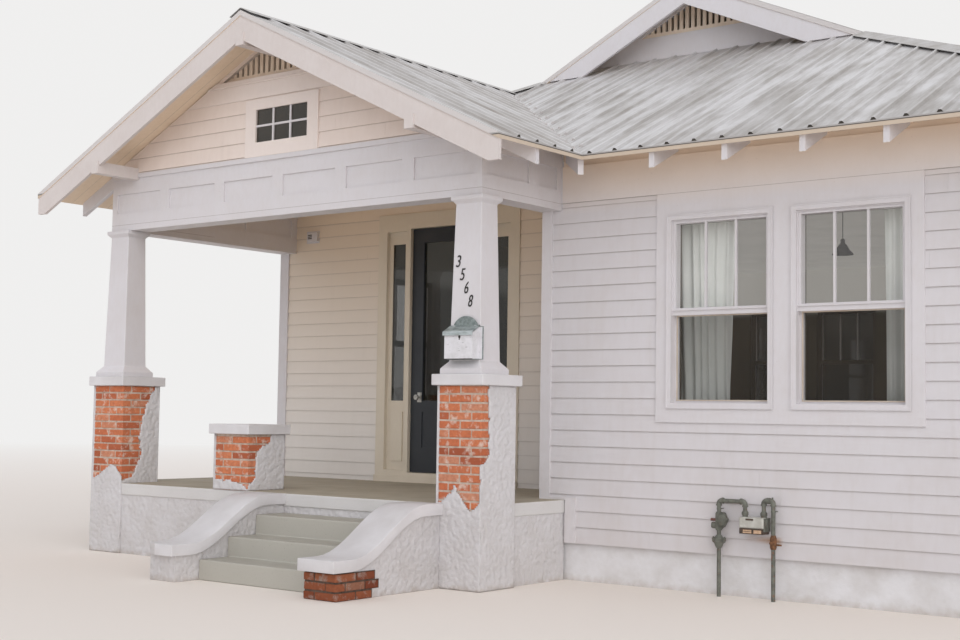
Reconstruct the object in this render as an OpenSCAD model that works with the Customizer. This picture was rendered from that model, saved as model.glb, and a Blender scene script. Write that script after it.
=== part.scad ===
// One-storey bungalow: hipped metal roof with small gables, gabled front porch on tapered
// columns and brick piers, S-curved cheek walls beside the steps.
// x runs along the front, y to the back, z up from the ground. The modules are drawn from
// the left corner of the window wall; site() moves them to the middle of the whole outline.

/* [Plan] */
// Width of the wall with the two front windows
front_w = 4470; // [4100:10:6000]
// Width of the recessed entry wall, from the left corner to the window wall
entry_w = 4246; // [3800:10:5200]
// How far the entry wall stands behind the window wall
entry_setback = 1182; // [700:2:1600]
// Depth from the window wall to the back wall
house_depth = 9600; // [8600:50:13000]
// Thickness of the outside walls
wall_t = 140; // [110:5:200]

/* [Heights] */
// Height of the foundation, where the siding starts
siding_z = 300; // [200:5:500]
// Top of the house floor
floor_z = 735; // [700:5:800]
// Thickness of the house floor
floor_t = 135; // [80:5:160]
// Top of the wall plates and the ceilings
plate_z = 3500; // [3460:5:3510]
// Thickness of the house ceiling
ceiling_t = 60; // [20:5:100]
// Thickness of the foundation walls
foundation_t = 110; // [90:5:110]
// How far the foundation stands back from the wall face
foundation_inset = 25; // [10:5:30]

/* [Roof] */
// Top of the roof at the eave edge
eave_z = 3336; // [3300:2:3420]
// Roof pitch of the front, the back and the left side, in degrees
roof_pitch = 25.9; // [22:0.1:30]
// Place of the main ridge, measured from the window wall's left corner
ridge_x = -110; // [-400:10:300]
// Roof overhang at the front and the back
eave_front = 482; // [350:2:600]
// Roof overhang at the sides
eave_side = 514; // [400:2:600]
// Thickness of the roof boards and metal, measured upright
roof_t = 45; // [30:1:60]
// Distance behind the window wall of the small gable's front edge
gablet_y = 2450; // [2300:10:2700]
// Overhang of the small gable's roof in front of its vent wall
gablet_out = 360; // [200:10:450]
// Thickness of the vent wall in the small gable
gablet_wall_t = 60; // [40:5:100]
// Width of one leg of the ridge caps, in plan
cap_leg = 140; // [80:5:200]
// Thickness of the ridge caps with the ribs that they lie on
cap_t = 22; // [12:1:30]

/* [Rafters and rakes] */
// Spacing of the rafters
rafter_pitch = 610; // [400:5:700]
// First rafter on the front eave
rafter_first_x = 1301; // [1000:1:1500]
// Width of a rafter
rafter_w = 45; // [35:1:60]
// Upright depth of a rafter tail
rafter_h = 125; // [90:1:150]
// How far the tails stop short of the roof edge
tail_back = 30; // [15:1:60]
// Upright depth of the rake boards
rake_h = 200; // [150:5:240]
// Thickness of the rake boards
rake_t = 32; // [20:1:50]
// How far the rake boards stand back from the roof edge
rake_back = 8; // [0:1:20]
// Width of the outriggers that carry the rake boards
outrigger_w = 90; // [60:5:120]
// Height of the outriggers
outrigger_h = 106; // [80:2:120]
// How far the outriggers reach up behind the rake boards' lower edge
outrigger_lap = 57; // [40:1:70]
// Distance of the outriggers from the roof's side edge
outrigger_in = 850; // [800:10:1000]
// How far the outriggers' ends stand in front of the rake boards
outrigger_proud = 12; // [0:2:40]

/* [Porch] */
// Distance of the porch beam's face in front of the window wall
porch_front = 1081; // [900:2:1200]
// Thickness of the porch beams
beam_t = 200; // [160:5:240]
// How far the right beam's outer face stands right of the window wall's corner
beam_right = 185; // [100:5:190]
// Underside of the porch beams
beam_z = 2990; // [2900:5:3050]
// Top of the porch beams, with the belt trim
belt_z = 3514; // [3480:2:3516]
// Depth of the belt trim
belt_h = 40; // [20:2:60]
// How far the belt trim stands out
belt_out = 18; // [5:1:25]
// Depth of the recess of the beam panels
panel_recess = 14; // [5:1:25]
// Width of a beam panel
panel_w = 610; // [500:5:680]
// Height of a beam panel
panel_h = 180; // [120:5:250]
// Height of the panels above the beam's underside
panel_up = 165; // [100:5:220]
// Number of panels on the front beam
panel_n = 6; // [3:1:6]
// Roof overhang in front of the porch gable
rake_out = 474; // [350:2:560]
// Thickness of the porch gable wall
gable_t = 100; // [80:5:140]
// Thickness of the porch ceiling
porch_ceiling_t = 25; // [12:1:40]
// Height of the porch ceiling's underside above the beams' underside
porch_ceiling_up = 450; // [300:5:470]

/* [Porch floor and steps] */
// Top of the porch slab
slab_z = 640; // [600:5:680]
// Thickness of the porch slab
slab_t = 105; // [80:5:140]
// Distance of the slab's front edge in front of the window wall
slab_front = 1150; // [1130:2:1158]
// Distance of the slab's right edge from the window wall's corner
slab_right = 244; // [200:2:260]
// Distance of the slab's left edge beyond the entry wall's corner
slab_left = 55; // [20:5:60]
// Inset of the stucco wall under the slab
base_inset = 12; // [4:1:30]
// Thickness of the stucco wall under the slab
base_t = 150; // [120:5:250]
// Middle of the steps, measured from the window wall's corner
steps_x = -1100; // [-1120:2:-1080]
// Clear width of the steps
steps_w = 1400; // [1300:2:1420]
// Depth of the top tread
top_tread = 310; // [290:5:340]
// Depth of the lower treads
tread = 296; // [260:2:306]
// Number of risers from the ground to the slab
riser_n = 4; // [3:1:4]
// Width of the cheek walls
cheek_w = 290; // [240:5:300]
// Width of their coping
coping_w = 350; // [300:5:360]
// Thickness of the coping
coping_t = 88; // [60:2:110]
// Distance of the coping's end in front of the slab
cheek_out = 1200; // [1150:5:1300]
// Height of the coping's top at its low end
cheek_low_z = 288; // [250:2:320]
// Length of the flat run at the coping's low end
cheek_toe = 190; // [120:5:260]
// Rounding of the left cheek wall's outer corner
cheek_turn = 150; // [60:5:170]
// Length of the flat run at the coping's high end
cheek_head = 200; // [100:5:260]

/* [Piers and columns] */
// Width of the square piers
pier_w = 430; // [390:2:440]
// Distance of the piers' front face in front of the window wall
pier_front = 1160; // [1159:1:1175]
// Underside of the pier caps
pier_z = 1535; // [1400:5:1600]
// Width of the pier caps
cap_w = 500; // [460:2:540]
// Thickness of the pier caps
pier_cap_t = 85; // [60:1:110]
// Distance of the columns from the porch's middle line
column_out = 2092; // [2060:2:2100]
// Underside of the low pier's cap
low_pier_z = 1118; // [900:2:1250]
// Middle of the low pier, measured from the window wall's corner
low_pier_x = -2440; // [-2470:5:-2350]
// Width of a column's foot, along the front
foot_w = 400; // [340:2:420]
// Depth of a column's foot
foot_d = 350; // [300:2:360]
// Height of the foot's upright part
foot_h = 42; // [30:1:60]
// Height of the slope above the foot
foot_slope = 58; // [30:1:80]
// Width of the shaft at the bottom
shaft_w = 298; // [270:2:320]
// Depth of the shaft at the bottom
shaft_d = 252; // [230:2:270]
// Width of the shaft at the top
neck_w = 250; // [220:2:260]
// Depth of the shaft at the top
neck_d = 200; // [180:2:210]
// How far the capital stands out from the neck
capital_out = 30; // [15:1:40]
// Height of the capital's slope and of its band, each
capital_h = 30; // [20:1:40]

/* [Windows] */
// Width of one window, outside its frame
window_w = 888; // [780:2:920]
// Height of one window, outside its frame
window_h = 1482; // [1200:2:1500]
// Underside of the window frames
window_z = 1389; // [1300:2:1395]
// Gap between the two windows of a pair
window_gap = 156; // [100:2:200]
// Middle of the front pair, measured from the wall's left corner
front_pair_x = 2158; // [2000:2:2400]
// Width of the casing boards around a pair
casing_w = 100; // [80:2:120]
// Height of the casing board under the windows
apron_h = 112; // [90:2:140]
// How far the casing stands out from the wall
casing_out = 22; // [15:1:35]
// Face width of a window frame
frame_face = 36; // [30:1:65]
// Face width of a sash
sash_face = 26; // [20:1:45]
// Thickness of a sash
sash_d = 34; // [28:1:40]
// Depth of a window frame
frame_d = 110; // [80:2:130]
// Height of the meeting rail's middle above the window's underside
meeting_up = 737; // [600:1:850]
// Height of the meeting rail
meeting_h = 56; // [40:2:80]
// Thickness of the panes
glass_t = 6; // [4:1:10]
// Distance of the first side window pair behind the window wall
side_pair_y = 2600; // [2500:50:2700]
// Distance between the side window pairs
side_pair_step = 4100; // [3600:50:4200]
// Middle of the left pair in the back wall, measured from the window wall's corner
back_pair_x = -2030; // [-2200:10:-1900]

/* [Porch gable] */
// Width of the gable window's panes
gable_glass_w = 622; // [500:2:640]
// Height of the gable window's panes
gable_glass_h = 288; // [220:2:300]
// Height of the panes above the belt trim
gable_glass_up = 124; // [100:2:150]
// Width of the gable window's casing boards
gable_casing = 128; // [90:2:140]
// Height of the gable vent
vent_h = 356; // [300:2:400]
// Upright distance from the roof boards down to a vent's top
vent_rail = 40; // [30:1:60]
// Spacing of the vent slats
slat_pitch = 66; // [60:1:120]
// Gap between two slats
slat_gap = 28; // [20:1:50]
// Thickness of the vent slats
slat_t = 20; // [12:1:30]
// Height of the small gable's vent above the front slope
gablet_vent_up = 232; // [180:2:280]

/* [Entry] */
// Distance of the door's middle from the porch's middle line
entry_shift = 50; // [-60:5:60]
// Width of the door leaf
door_w = 910; // [760:2:920]
// Height of the door leaf
door_h = 2400; // [2000:5:2420]
// Thickness of the door leaf
door_t = 45; // [38:1:55]
// Distance of the leaf behind the entry wall's outer face
door_set = 14; // [5:1:30]
// Gap around the door leaf
door_gap = 5; // [5:0.5:8]
// Gap under the door leaf
door_under = 8; // [6:0.5:12]
// Width of one sidelight, with its frame
sidelight_w = 300; // [245:1:300]
// Width of a sidelight's pane
sidelight_glass_w = 160; // [120:1:200]
// Underside of the door's and the sidelights' panes above the floor
pane_up = 706; // [600:2:800]
// Width of the posts between the door and the sidelights
post_w = 30; // [20:1:45]
// Width of the casing around the entry
entry_casing = 92; // [70:2:110]
// Height of the casing over the entry
entry_head = 155; // [110:1:180]
// Width of the door's pane
door_glass_w = 620; // [480:2:640]
// Distance of the door's pane from the leaf's top
door_top_rail = 140; // [100:2:200]
// Height of the doorway's head board
head_t = 30; // [20:1:40]
// Width of the sidelights' own frame
sidelight_frame = 20; // [20:1:40]
// Width of a sidelight's lower panel
sidelight_panel_w = 160; // [80:2:180]
// Distance from a panel to the pane's and the frame's edge
panel_gap = 110; // [80:2:130]
// Height of the entry's sill board
sill_h = 62; // [40:1:80]
// Height of the door's bottom rail
door_kick = 240; // [180:5:280]
// Width of the slope round the door's raised panel
door_groove = 45; // [30:1:55]
// Height of the door handle above the floor
handle_up = 740; // [700:5:1100]
// Distance of the handle from the leaf's edge
handle_in = 115; // [60:1:115]
// Radius of the hinge barrels
hinge_r = 8; // [6:0.5:12]

/* [Trim and small pieces] */
// Width of the corner boards
corner_w = 100; // [70:2:130]
// How far the corner boards stand out
corner_out = 22; // [15:1:35]
// Underside of the frieze board on the window wall
frieze_z = 3045; // [2990:5:3100]
// Height of the frieze board
frieze_h = 300; // [200:5:330]
// Width of the letter box
box_w = 270; // [220:2:280]
// Depth of the letter box
box_d = 85; // [75:1:120]
// Height of the letter box at its front
box_h = 200; // [150:1:220]
// Rise of the letter box lid from front to back
box_rise = 47; // [40:1:90]
// Underside of the letter box
box_z = 1729; // [1721:2:1800]
// Width of the letter box's back plate
box_plate_w = 340; // [300:5:360]
// Wall thickness of the letter box
box_t = 4; // [2:0.5:6]
// Thickness of the letter box's back plate
box_back_t = 8; // [4:1:12]
// Height of the arch on the letter box's back plate
box_arch = 81; // [50:1:100]
// Width of that arch
box_arch_w = 245; // [210:5:280]
// Gap between the letter box and its lid
lid_gap = 5; // [3:0.5:8]
// Height of the house numbers
digit_h = 92; // [70:1:100]
// Top of the first house number
digits_z = 2532; // [2450:2:2600]
// Step down from one number to the next
digit_drop = 103; // [103:1:120]
// Step to the right from one number to the next
digit_step = 42; // [20:1:60]
// Radius of the gas pipes
pipe_r = 21; // [15:0.5:27]
// Distance of the gas pipes' middle line in front of the wall
pipe_out = 75; // [65:1:110]
// Place of the gas meter's left pipe on the window wall
meter_x = 1684; // [1500:2:1800]
// Distance between the gas meter's two upright pipes
meter_span = 435; // [410:1:520]
// Top of the gas pipes
meter_top = 703; // [680:1:760]
// Radius of the pendant lamp's shade
lamp_r = 105; // [80:1:140]
// Height of the pendant lamp's rim
lamp_z = 2950; // [2800:10:3100]
// Thickness of the hanging curtains
curtain_t = 50; // [30:1:80]
// Width of a curtain
curtain_w = 430; // [300:5:460]

/* [Hidden] */
$fn = 48;

// Roof lines
left_eave = -(entry_w + eave_side);
right_eave = front_w + eave_side;
front_eave = -eave_front;
back_eave = house_depth + eave_front;
porch_eave = beam_right + eave_side;
porch_x = (porch_eave + left_eave) / 2;
porch_edge = -(porch_front + rake_out);
k = tan(roof_pitch);
ridge_z = eave_z + (ridge_x - left_eave) * k;
k_right = (ridge_z - eave_z) / (right_eave - ridge_x);
porch_ridge_z = eave_z + (porch_eave - porch_x) * k;
valley_y = front_eave + porch_eave - porch_x;
gablet_wall_y = gablet_y + gablet_out;
back_gablet_y = house_depth - gablet_y;
back_gablet_wall_y = house_depth - gablet_wall_y;
far = 30000;
// Air between pieces that lie on each other at a slope
seat = 0.3;
under = roof_t + seat;
cap_lap = 2;

// The whole outline, for the middle of the part
outline_front = -(slab_front + cheek_out);
mid_x = (left_eave + right_eave) / 2;
mid_y = (outline_front + back_eave) / 2;

// Entry
entry_x = porch_x + entry_shift;
door_z = floor_z + door_under;
doorway_half = door_w / 2 + door_gap + post_w + sidelight_w;
doorway_top = door_z + door_h + door_gap;
door_y = entry_setback + door_set;
hinge_gap = 0.3;
hinge_x = entry_x + door_w / 2 + door_gap / 2;
hinge_y = door_y + door_t + hinge_r + hinge_gap;
hinge_h = 100;
pane_top = door_z + door_h - door_top_rail;

// Porch
beam_left = -entry_w;
base_z = slab_z - slab_t;
column_z = pier_z + pier_cap_t;
column_y = -(porch_front - beam_t / 2);
pier_y = -(pier_front - pier_w / 2);
right_column_x = porch_x + column_out;
left_column_x = porch_x - column_out;
slab_x0 = beam_left - slab_left;
steps_x0 = steps_x - steps_w / 2;
steps_x1 = steps_x + steps_w / 2;
rise = slab_z / riser_n;
panel_pitch = (beam_right - beam_left - 2 * 73 - panel_w) / (panel_n - 1);

// Windows
pair_w = 2 * window_w + window_gap;
pair_step = (window_w + window_gap) / 2;

// Letter box on the right column
box_y = face_y(box_z);
box_x = right_column_x + 12;
lid_t = 5;
lid_hinge_r = 5;
lid_hinge_y = box_y - box_back_t - lid_hinge_r - hinge_gap - 1;
lid_hinge_z = box_z + box_h + box_rise + lid_gap + lid_hinge_r;

// Heights of the roof planes' tops
function left_top(x) = eave_z + (x - left_eave) * k;
function right_top(x) = eave_z + (right_eave - x) * k_right;
function porch_top(x) = eave_z + (porch_eave - x) * k;
function front_top(y) = eave_z + (y - front_eave) * k;
function back_top(y) = eave_z + (back_eave - y) * k;
// Places of the hips, in plan
function hip_left(y) = left_eave + y - front_eave;
function hip_right(y) = right_eave - (y - front_eave) * k / k_right;
function back_hip_left(y) = left_eave + back_eave - y;
function back_hip_right(y) = right_eave - (back_eave - y) * k / k_right;

module site() translate([-mid_x, -mid_y, 0]) children();

// A box from one corner to the other
module span(a, b) translate(a) cube(b - a);

// An outline in x and z, run from y0 to y1
module along_y(y0, y1, pts) translate([0, y1, 0]) rotate([90, 0, 0]) linear_extrude(y1 - y0) polygon(pts);

// An outline in y and z, run from x0 to x1
module along_x(x0, x1, pts) translate([x0, 0, 0]) rotate([90, 0, 90]) linear_extrude(x1 - x0) polygon(pts);

// An upright prism over a plan outline
module plan(pts) linear_extrude(far) polygon(pts);

// Layers that lie on the roof planes, from below to above the top
module left_layer(lo, hi) let (a = left_eave, b = ridge_x + cap_lap) along_y(-far, far,
    [[a, left_top(a) + lo], [b, left_top(b) + lo], [b, left_top(b) + hi], [a, left_top(a) + hi]]);
module right_layer(lo, hi) let (a = ridge_x - cap_lap, b = right_eave) along_y(-far, far,
    [[a, right_top(a) + lo], [b, right_top(b) + lo], [b, right_top(b) + hi], [a, right_top(a) + hi]]);
module porch_layer(lo, hi) let (a = porch_x - cap_lap, b = porch_eave) along_y(-far, far,
    [[a, porch_top(a) + lo], [b, porch_top(b) + lo], [b, porch_top(b) + hi], [a, porch_top(a) + hi]]);
module front_layer(lo, hi) along_x(-far, far, [[front_eave, front_top(front_eave) + lo],
    [gablet_wall_y, front_top(gablet_wall_y) + lo], [gablet_wall_y, front_top(gablet_wall_y) + hi],
    [front_eave, front_top(front_eave) + hi]]);
module back_layer(lo, hi) along_x(-far, far, [[back_gablet_wall_y, back_top(back_gablet_wall_y) + lo],
    [back_eave, back_top(back_eave) + lo], [back_eave, back_top(back_eave) + hi],
    [back_gablet_wall_y, back_top(back_gablet_wall_y) + hi]]);

left_plan = [[left_eave, porch_edge], [porch_x, porch_edge], [porch_x, valley_y],
    [hip_left(gablet_y), gablet_y], [ridge_x, gablet_y], [ridge_x, back_gablet_y],
    [back_hip_left(back_gablet_y), back_gablet_y], [left_eave, back_eave]];
right_plan = [[right_eave, front_eave], [right_eave, back_eave],
    [back_hip_right(back_gablet_y), back_gablet_y], [ridge_x, back_gablet_y],
    [ridge_x, gablet_y], [hip_right(gablet_y), gablet_y]];
porch_plan = [[porch_x, porch_edge], [porch_eave, porch_edge], [porch_eave, front_eave],
    [porch_x, valley_y]];
front_plan = [[porch_eave, front_eave], [right_eave, front_eave],
    [hip_right(gablet_wall_y), gablet_wall_y], [hip_left(gablet_wall_y), gablet_wall_y],
    [porch_x, valley_y]];
back_plan = [[left_eave, back_eave], [back_hip_left(back_gablet_wall_y), back_gablet_wall_y],
    [back_hip_right(back_gablet_wall_y), back_gablet_wall_y], [right_eave, back_eave]];

module front_boards() intersection() { plan(front_plan); front_layer(-roof_t, 0); }
module back_boards() intersection() { plan(back_plan); back_layer(-roof_t, 0); }

// Where the small gables' overhang stands over the front and the back slope
over_plan = [[hip_left(gablet_y), gablet_y], [hip_right(gablet_y) + seat, gablet_y],
    [hip_right(gablet_wall_y) + seat, gablet_wall_y], [hip_left(gablet_wall_y), gablet_wall_y]];
back_over_plan = [[back_hip_left(back_gablet_y), back_gablet_y],
    [back_hip_right(back_gablet_y) + seat, back_gablet_y],
    [back_hip_right(back_gablet_wall_y) + seat, back_gablet_wall_y],
    [back_hip_left(back_gablet_wall_y), back_gablet_wall_y]];
module over_cut() {
    intersection() { plan(over_plan); front_layer(-far / 10, 2); }
    intersection() { plan(back_over_plan); back_layer(-far / 10, 2); }
}

module left_slope() site() color("silver") difference() {
    intersection() { plan(left_plan); left_layer(-roof_t, 0); }
    over_cut();
}
module right_slope() site() color("silver") difference() {
    intersection() { translate([seat, 0, 0]) plan(right_plan); right_layer(-roof_t, 0); }
    over_cut();
}
module porch_slope() site() color("silver") intersection() { plan(porch_plan); porch_layer(-roof_t, 0); }
module front_slope() site() color("silver") front_boards();
module back_slope() site() color("silver") back_boards();

// Strip of a given width beside a plan line, which it laps a little
function strip(a, b, w) = let (d = b - a, n = [-d.y, d.x] / norm(d))
    [a - n * cap_lap / 2, b - n * cap_lap / 2, b + n * w, a + n * w];

// Caps over the ridges and hips, one leg on each slope
module ridge_caps() site() color("gainsboro") {
    porch_a = [porch_x, porch_edge];
    porch_b = [porch_x, valley_y - cap_leg];
    kink = [porch_x, valley_y];
    hip_a = [hip_left(gablet_y), gablet_y];
    corner_a = [right_eave, front_eave];
    hip_b = [hip_right(gablet_y), gablet_y];
    ridge_a = [ridge_x, gablet_y];
    ridge_b = [ridge_x, back_gablet_y];
    back_a = [left_eave, back_eave];
    back_b = [back_hip_left(back_gablet_y), back_gablet_y];
    back_c = [right_eave, back_eave];
    back_d = [back_hip_right(back_gablet_y), back_gablet_y];
    union() {
        intersection() { plan(strip(porch_a, porch_b, cap_leg)); left_layer(seat, cap_t); }
        intersection() { plan(strip(porch_b, porch_a, cap_leg)); porch_layer(seat, cap_t); }
    }
    union() {
        intersection() { plan(strip(kink, hip_a, cap_leg)); left_layer(seat, cap_t); }
        intersection() { plan(strip(hip_a, kink, cap_leg)); front_layer(seat, cap_t); }
    }
    union() {
        intersection() { plan(strip(hip_b, corner_a, cap_leg)); right_layer(seat, cap_t); }
        intersection() { plan(strip(corner_a, hip_b, cap_leg)); front_layer(seat, cap_t); }
    }
    union() {
        intersection() { plan(strip(ridge_a, ridge_b, cap_leg)); left_layer(seat, cap_t); }
        intersection() { plan(strip(ridge_b, ridge_a, cap_leg)); right_layer(seat, cap_t); }
    }
    union() {
        intersection() { plan(strip(back_b, back_a, cap_leg)); left_layer(seat, cap_t); }
        intersection() { plan(strip(back_a, back_b, cap_leg)); back_layer(seat, cap_t); }
    }
    union() {
        intersection() { plan(strip(back_c, back_d, cap_leg)); right_layer(seat, cap_t); }
        intersection() { plan(strip(back_d, back_c, cap_leg)); back_layer(seat, cap_t); }
    }
}

// Vent openings: a triangle under the roof boards, above a given height
function vent_left(apex, z, slope) = (apex - z) / slope;
function vent_shape(x, top, z, kl, kr) = [[x - vent_left(top, z, kl), z],
    [x + vent_left(top, z, kr), z], [x, top]];
vent_top = porch_ridge_z - under - vent_rail;
porch_vent = vent_shape(porch_x, vent_top, vent_top - vent_h, k, k);
gablet_vent_z = front_top(gablet_wall_y) + gablet_vent_up;
gablet_vent = vent_shape(ridge_x, ridge_z - under - vent_rail, gablet_vent_z, k, k_right);

// Upright slats that fill a vent opening, held by a thin rail at the back
module slats(y0, y1, shape, rail_y0, rail_y1) {
    x0 = shape[0].x;
    x1 = shape[1].x;
    n = floor((x1 - x0) / slat_pitch);
    start = (x0 + x1 - n * slat_pitch) / 2;
    intersection() {
        along_y(-far, far, shape);
        union() {
            for (i = [0 : n])
                span([start + i * slat_pitch - (slat_pitch - slat_gap) / 2, y0, shape[0].y],
                    [start + i * slat_pitch + (slat_pitch - slat_gap) / 2, y1, shape[2].y]);
            span([x0, rail_y0, shape[0].y], [x1, rail_y1, shape[0].y + vent_rail]);
        }
    }
}
module gable_vents() site() color("wheat") {
    gable_mid = -porch_front + gable_t / 2;
    slats(gable_mid - slat_t, gable_mid, porch_vent, gable_mid - slat_t, gable_mid + slat_t);
    front_mid = gablet_wall_y + gablet_wall_t / 2;
    slats(front_mid - slat_t, front_mid, gablet_vent, front_mid - slat_t, front_mid + slat_t);
    back_mid = back_gablet_wall_y - gablet_wall_t / 2;
    slats(back_mid, back_mid + slat_t, gablet_vent, back_mid - slat_t, back_mid + slat_t);
}

// Walls of the small gables at both ends of the main ridge, with their rake boards
module gablet_wall(y0, y1, z) difference() {
    along_y(y0, y1, [[left_eave + (z + under - eave_z) / k, z],
        [right_eave - (z + under - eave_z) / k_right, z], [ridge_x, ridge_z - under]]);
    along_y(-far, far, gablet_vent);
}
module gablet_rake(y0, y1, z) {
    top = under;
    low = under + rake_h;
    along_y(y0, y1, [[left_eave + (z + top - eave_z) / k, z], [ridge_x, ridge_z - top],
        [right_eave - (z + top - eave_z) / k_right, z], [right_eave - (z + low - eave_z) / k_right, z],
        [ridge_x, ridge_z - low], [left_eave + (z + low - eave_z) / k, z]]);
}
module roof_gables() site() color("white") {
    gablet_wall(gablet_wall_y, gablet_wall_y + gablet_wall_t, front_top(gablet_wall_y) - under);
    gablet_wall(back_gablet_wall_y - gablet_wall_t, back_gablet_wall_y,
        back_top(back_gablet_wall_y) - under);
    gablet_rake(gablet_y + rake_back, gablet_y + rake_back + rake_t,
        front_top(gablet_y + rake_back + rake_t));
    gablet_rake(back_gablet_y - rake_back - rake_t, back_gablet_y - rake_back,
        back_top(back_gablet_y - rake_back - rake_t));
}

// Rake boards of the porch gable, with the outriggers that carry them
module rake_boards() site() color("white") {
    y0 = porch_edge + rake_back;
    y1 = y0 + rake_t;
    toe = rake_h / 2;
    low = under + rake_h;
    along_y(y0, y1, [[left_eave + 4, left_top(left_eave + 4) - under],
        [porch_x, porch_ridge_z - under],
        [porch_eave - 4, porch_top(porch_eave - 4) - under],
        [porch_eave - 4, porch_top(porch_eave) - low + toe / 2],
        [porch_eave - toe, porch_top(porch_eave - toe) - low],
        [porch_x, porch_ridge_z - low],
        [left_eave + toe, left_top(left_eave + toe) - low],
        [left_eave + 4, left_top(left_eave) - low + toe / 2]]);
    outrigger_x = porch_eave - outrigger_in - porch_x;
    outrigger_z = porch_top(porch_eave - outrigger_in) - low + outrigger_lap - outrigger_h;
    difference() {
        for (side = [-1, 1])
            span([porch_x + side * outrigger_x - outrigger_w / 2, y0 - outrigger_proud, outrigger_z],
                [porch_x + side * outrigger_x + outrigger_w / 2, -porch_front, outrigger_z + outrigger_h]);
        belt();
    }
    span([porch_x - outrigger_w / 2, y0 - outrigger_proud, porch_ridge_z - low - outrigger_h / 2],
        [porch_x + outrigger_w / 2, -porch_front + gable_t / 2 - slat_t,
            porch_ridge_z - low + outrigger_h / 2]);
}

// Rafter tails under the open eaves
module tail_x(x0, x1, y, z0, z1) along_y(y - rafter_w / 2, y + rafter_w / 2,
    [[x0, z0 - rafter_h], [x1, z1 - rafter_h], [x1, z1], [x0, z0]]);
module tail_y(y0, y1, x, z0, z1) along_x(x - rafter_w / 2, x + rafter_w / 2,
    [[y0, z0 - rafter_h], [y1, z1 - rafter_h], [y1, z1], [y0, z0]]);
module rafter_tails() site() color("white") {
    front_n = floor((right_eave - tail_back - eave_side / 2 - rafter_first_x) / rafter_pitch);
    for (i = [0 : front_n])
        tail_y(front_eave + tail_back, 0, rafter_first_x + i * rafter_pitch,
            front_top(front_eave + tail_back) - under, front_top(0) - under);
    first_y = -porch_front + rafter_w;
    left_n = floor((house_depth - first_y) / rafter_pitch);
    for (i = [0 : left_n])
        tail_x(left_eave + tail_back, -entry_w, first_y + i * rafter_pitch,
            left_top(left_eave + tail_back) - under, left_top(-entry_w) - under);
    tail_x(beam_right, porch_eave - tail_back, first_y,
        porch_top(beam_right) - under, porch_top(porch_eave - tail_back) - under);
    difference() {
        translate([porch_eave, front_eave, 0]) rotate([0, 0, 135]) let (a = 2 * tail_back, b = eave_front * sqrt(2))
            along_y(-rafter_w / 2, rafter_w / 2, [[a, eave_z + a * k / sqrt(2) - under - rafter_h],
                [b, eave_z + b * k / sqrt(2) - under - rafter_h], [b, eave_z + b * k / sqrt(2) - under],
                [a, eave_z + a * k / sqrt(2) - under]]);
        span([-far, 0, 0], [far, far, far]);
    }
    right_n = floor((house_depth - rafter_w) / rafter_pitch);
    for (i = [0 : right_n])
        tail_x(front_w, right_eave - tail_back, rafter_w + i * rafter_pitch,
            right_top(front_w) - under, right_top(right_eave - tail_back) - under);
    back_n = floor((front_w + entry_w - rafter_w) / rafter_pitch);
    for (i = [0 : back_n])
        tail_y(house_depth, back_eave - tail_back, -entry_w + rafter_w + i * rafter_pitch,
            back_top(house_depth) - under, back_top(back_eave - tail_back) - under);
}

// The floor plan's outline, shrunk by a margin
function house_plan(m) = [[-entry_w + m, entry_setback + m], [m, entry_setback + m], [m, m],
    [front_w - m, m], [front_w - m, house_depth - m], [-entry_w + m, house_depth - m]];

module foundation() site() color("whitesmoke") difference() {
    linear_extrude(siding_z) polygon(house_plan(foundation_inset));
    linear_extrude(siding_z) polygon(house_plan(foundation_inset + foundation_t));
}
module house_floor() site() color("peru") translate([0, 0, floor_z - floor_t])
    linear_extrude(floor_t) polygon(house_plan(wall_t));
module ceiling() site() color("ivory") translate([0, 0, plate_z - ceiling_t])
    linear_extrude(ceiling_t) polygon(house_plan(wall_t));

// Window openings of a pair, cut through a wall that runs along x
module pair_holes(y0, y1) for (side = [-1, 1])
    span([side * pair_step - window_w / 2, y0, window_z],
        [side * pair_step + window_w / 2, y1, window_z + window_h]);

// Where the pairs stand: each as a turn and a place of the wall's outer face
module at_front() translate([front_pair_x, 0, 0]) children();
module at_right(i) translate([front_w, side_pair_y + i * side_pair_step, 0]) rotate([0, 0, 90]) children();
module at_left(i) translate([-entry_w, side_pair_y + i * side_pair_step, 0]) rotate([0, 0, -90]) children();
module at_back(i) translate([i == 0 ? back_pair_x : front_pair_x, house_depth, 0])
    rotate([0, 0, 180]) children();

module front_wall() site() color("white") difference() {
    along_x(0, front_w, [[0, siding_z], [wall_t, siding_z], [wall_t, front_top(wall_t) - under],
        [0, front_top(0) - under]]);
    at_front() pair_holes(-wall_t, 2 * wall_t);
    over_right_slope();
}
// What would stand through the right slope at the ends of the front and the back wall
module over_right_slope() let (x = front_w - 3 * wall_t) along_y(-far, far, [
    [x, right_top(x) - under], [front_w + 1, right_top(front_w + 1) - under],
    [front_w + 1, far], [x, far]]);

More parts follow.
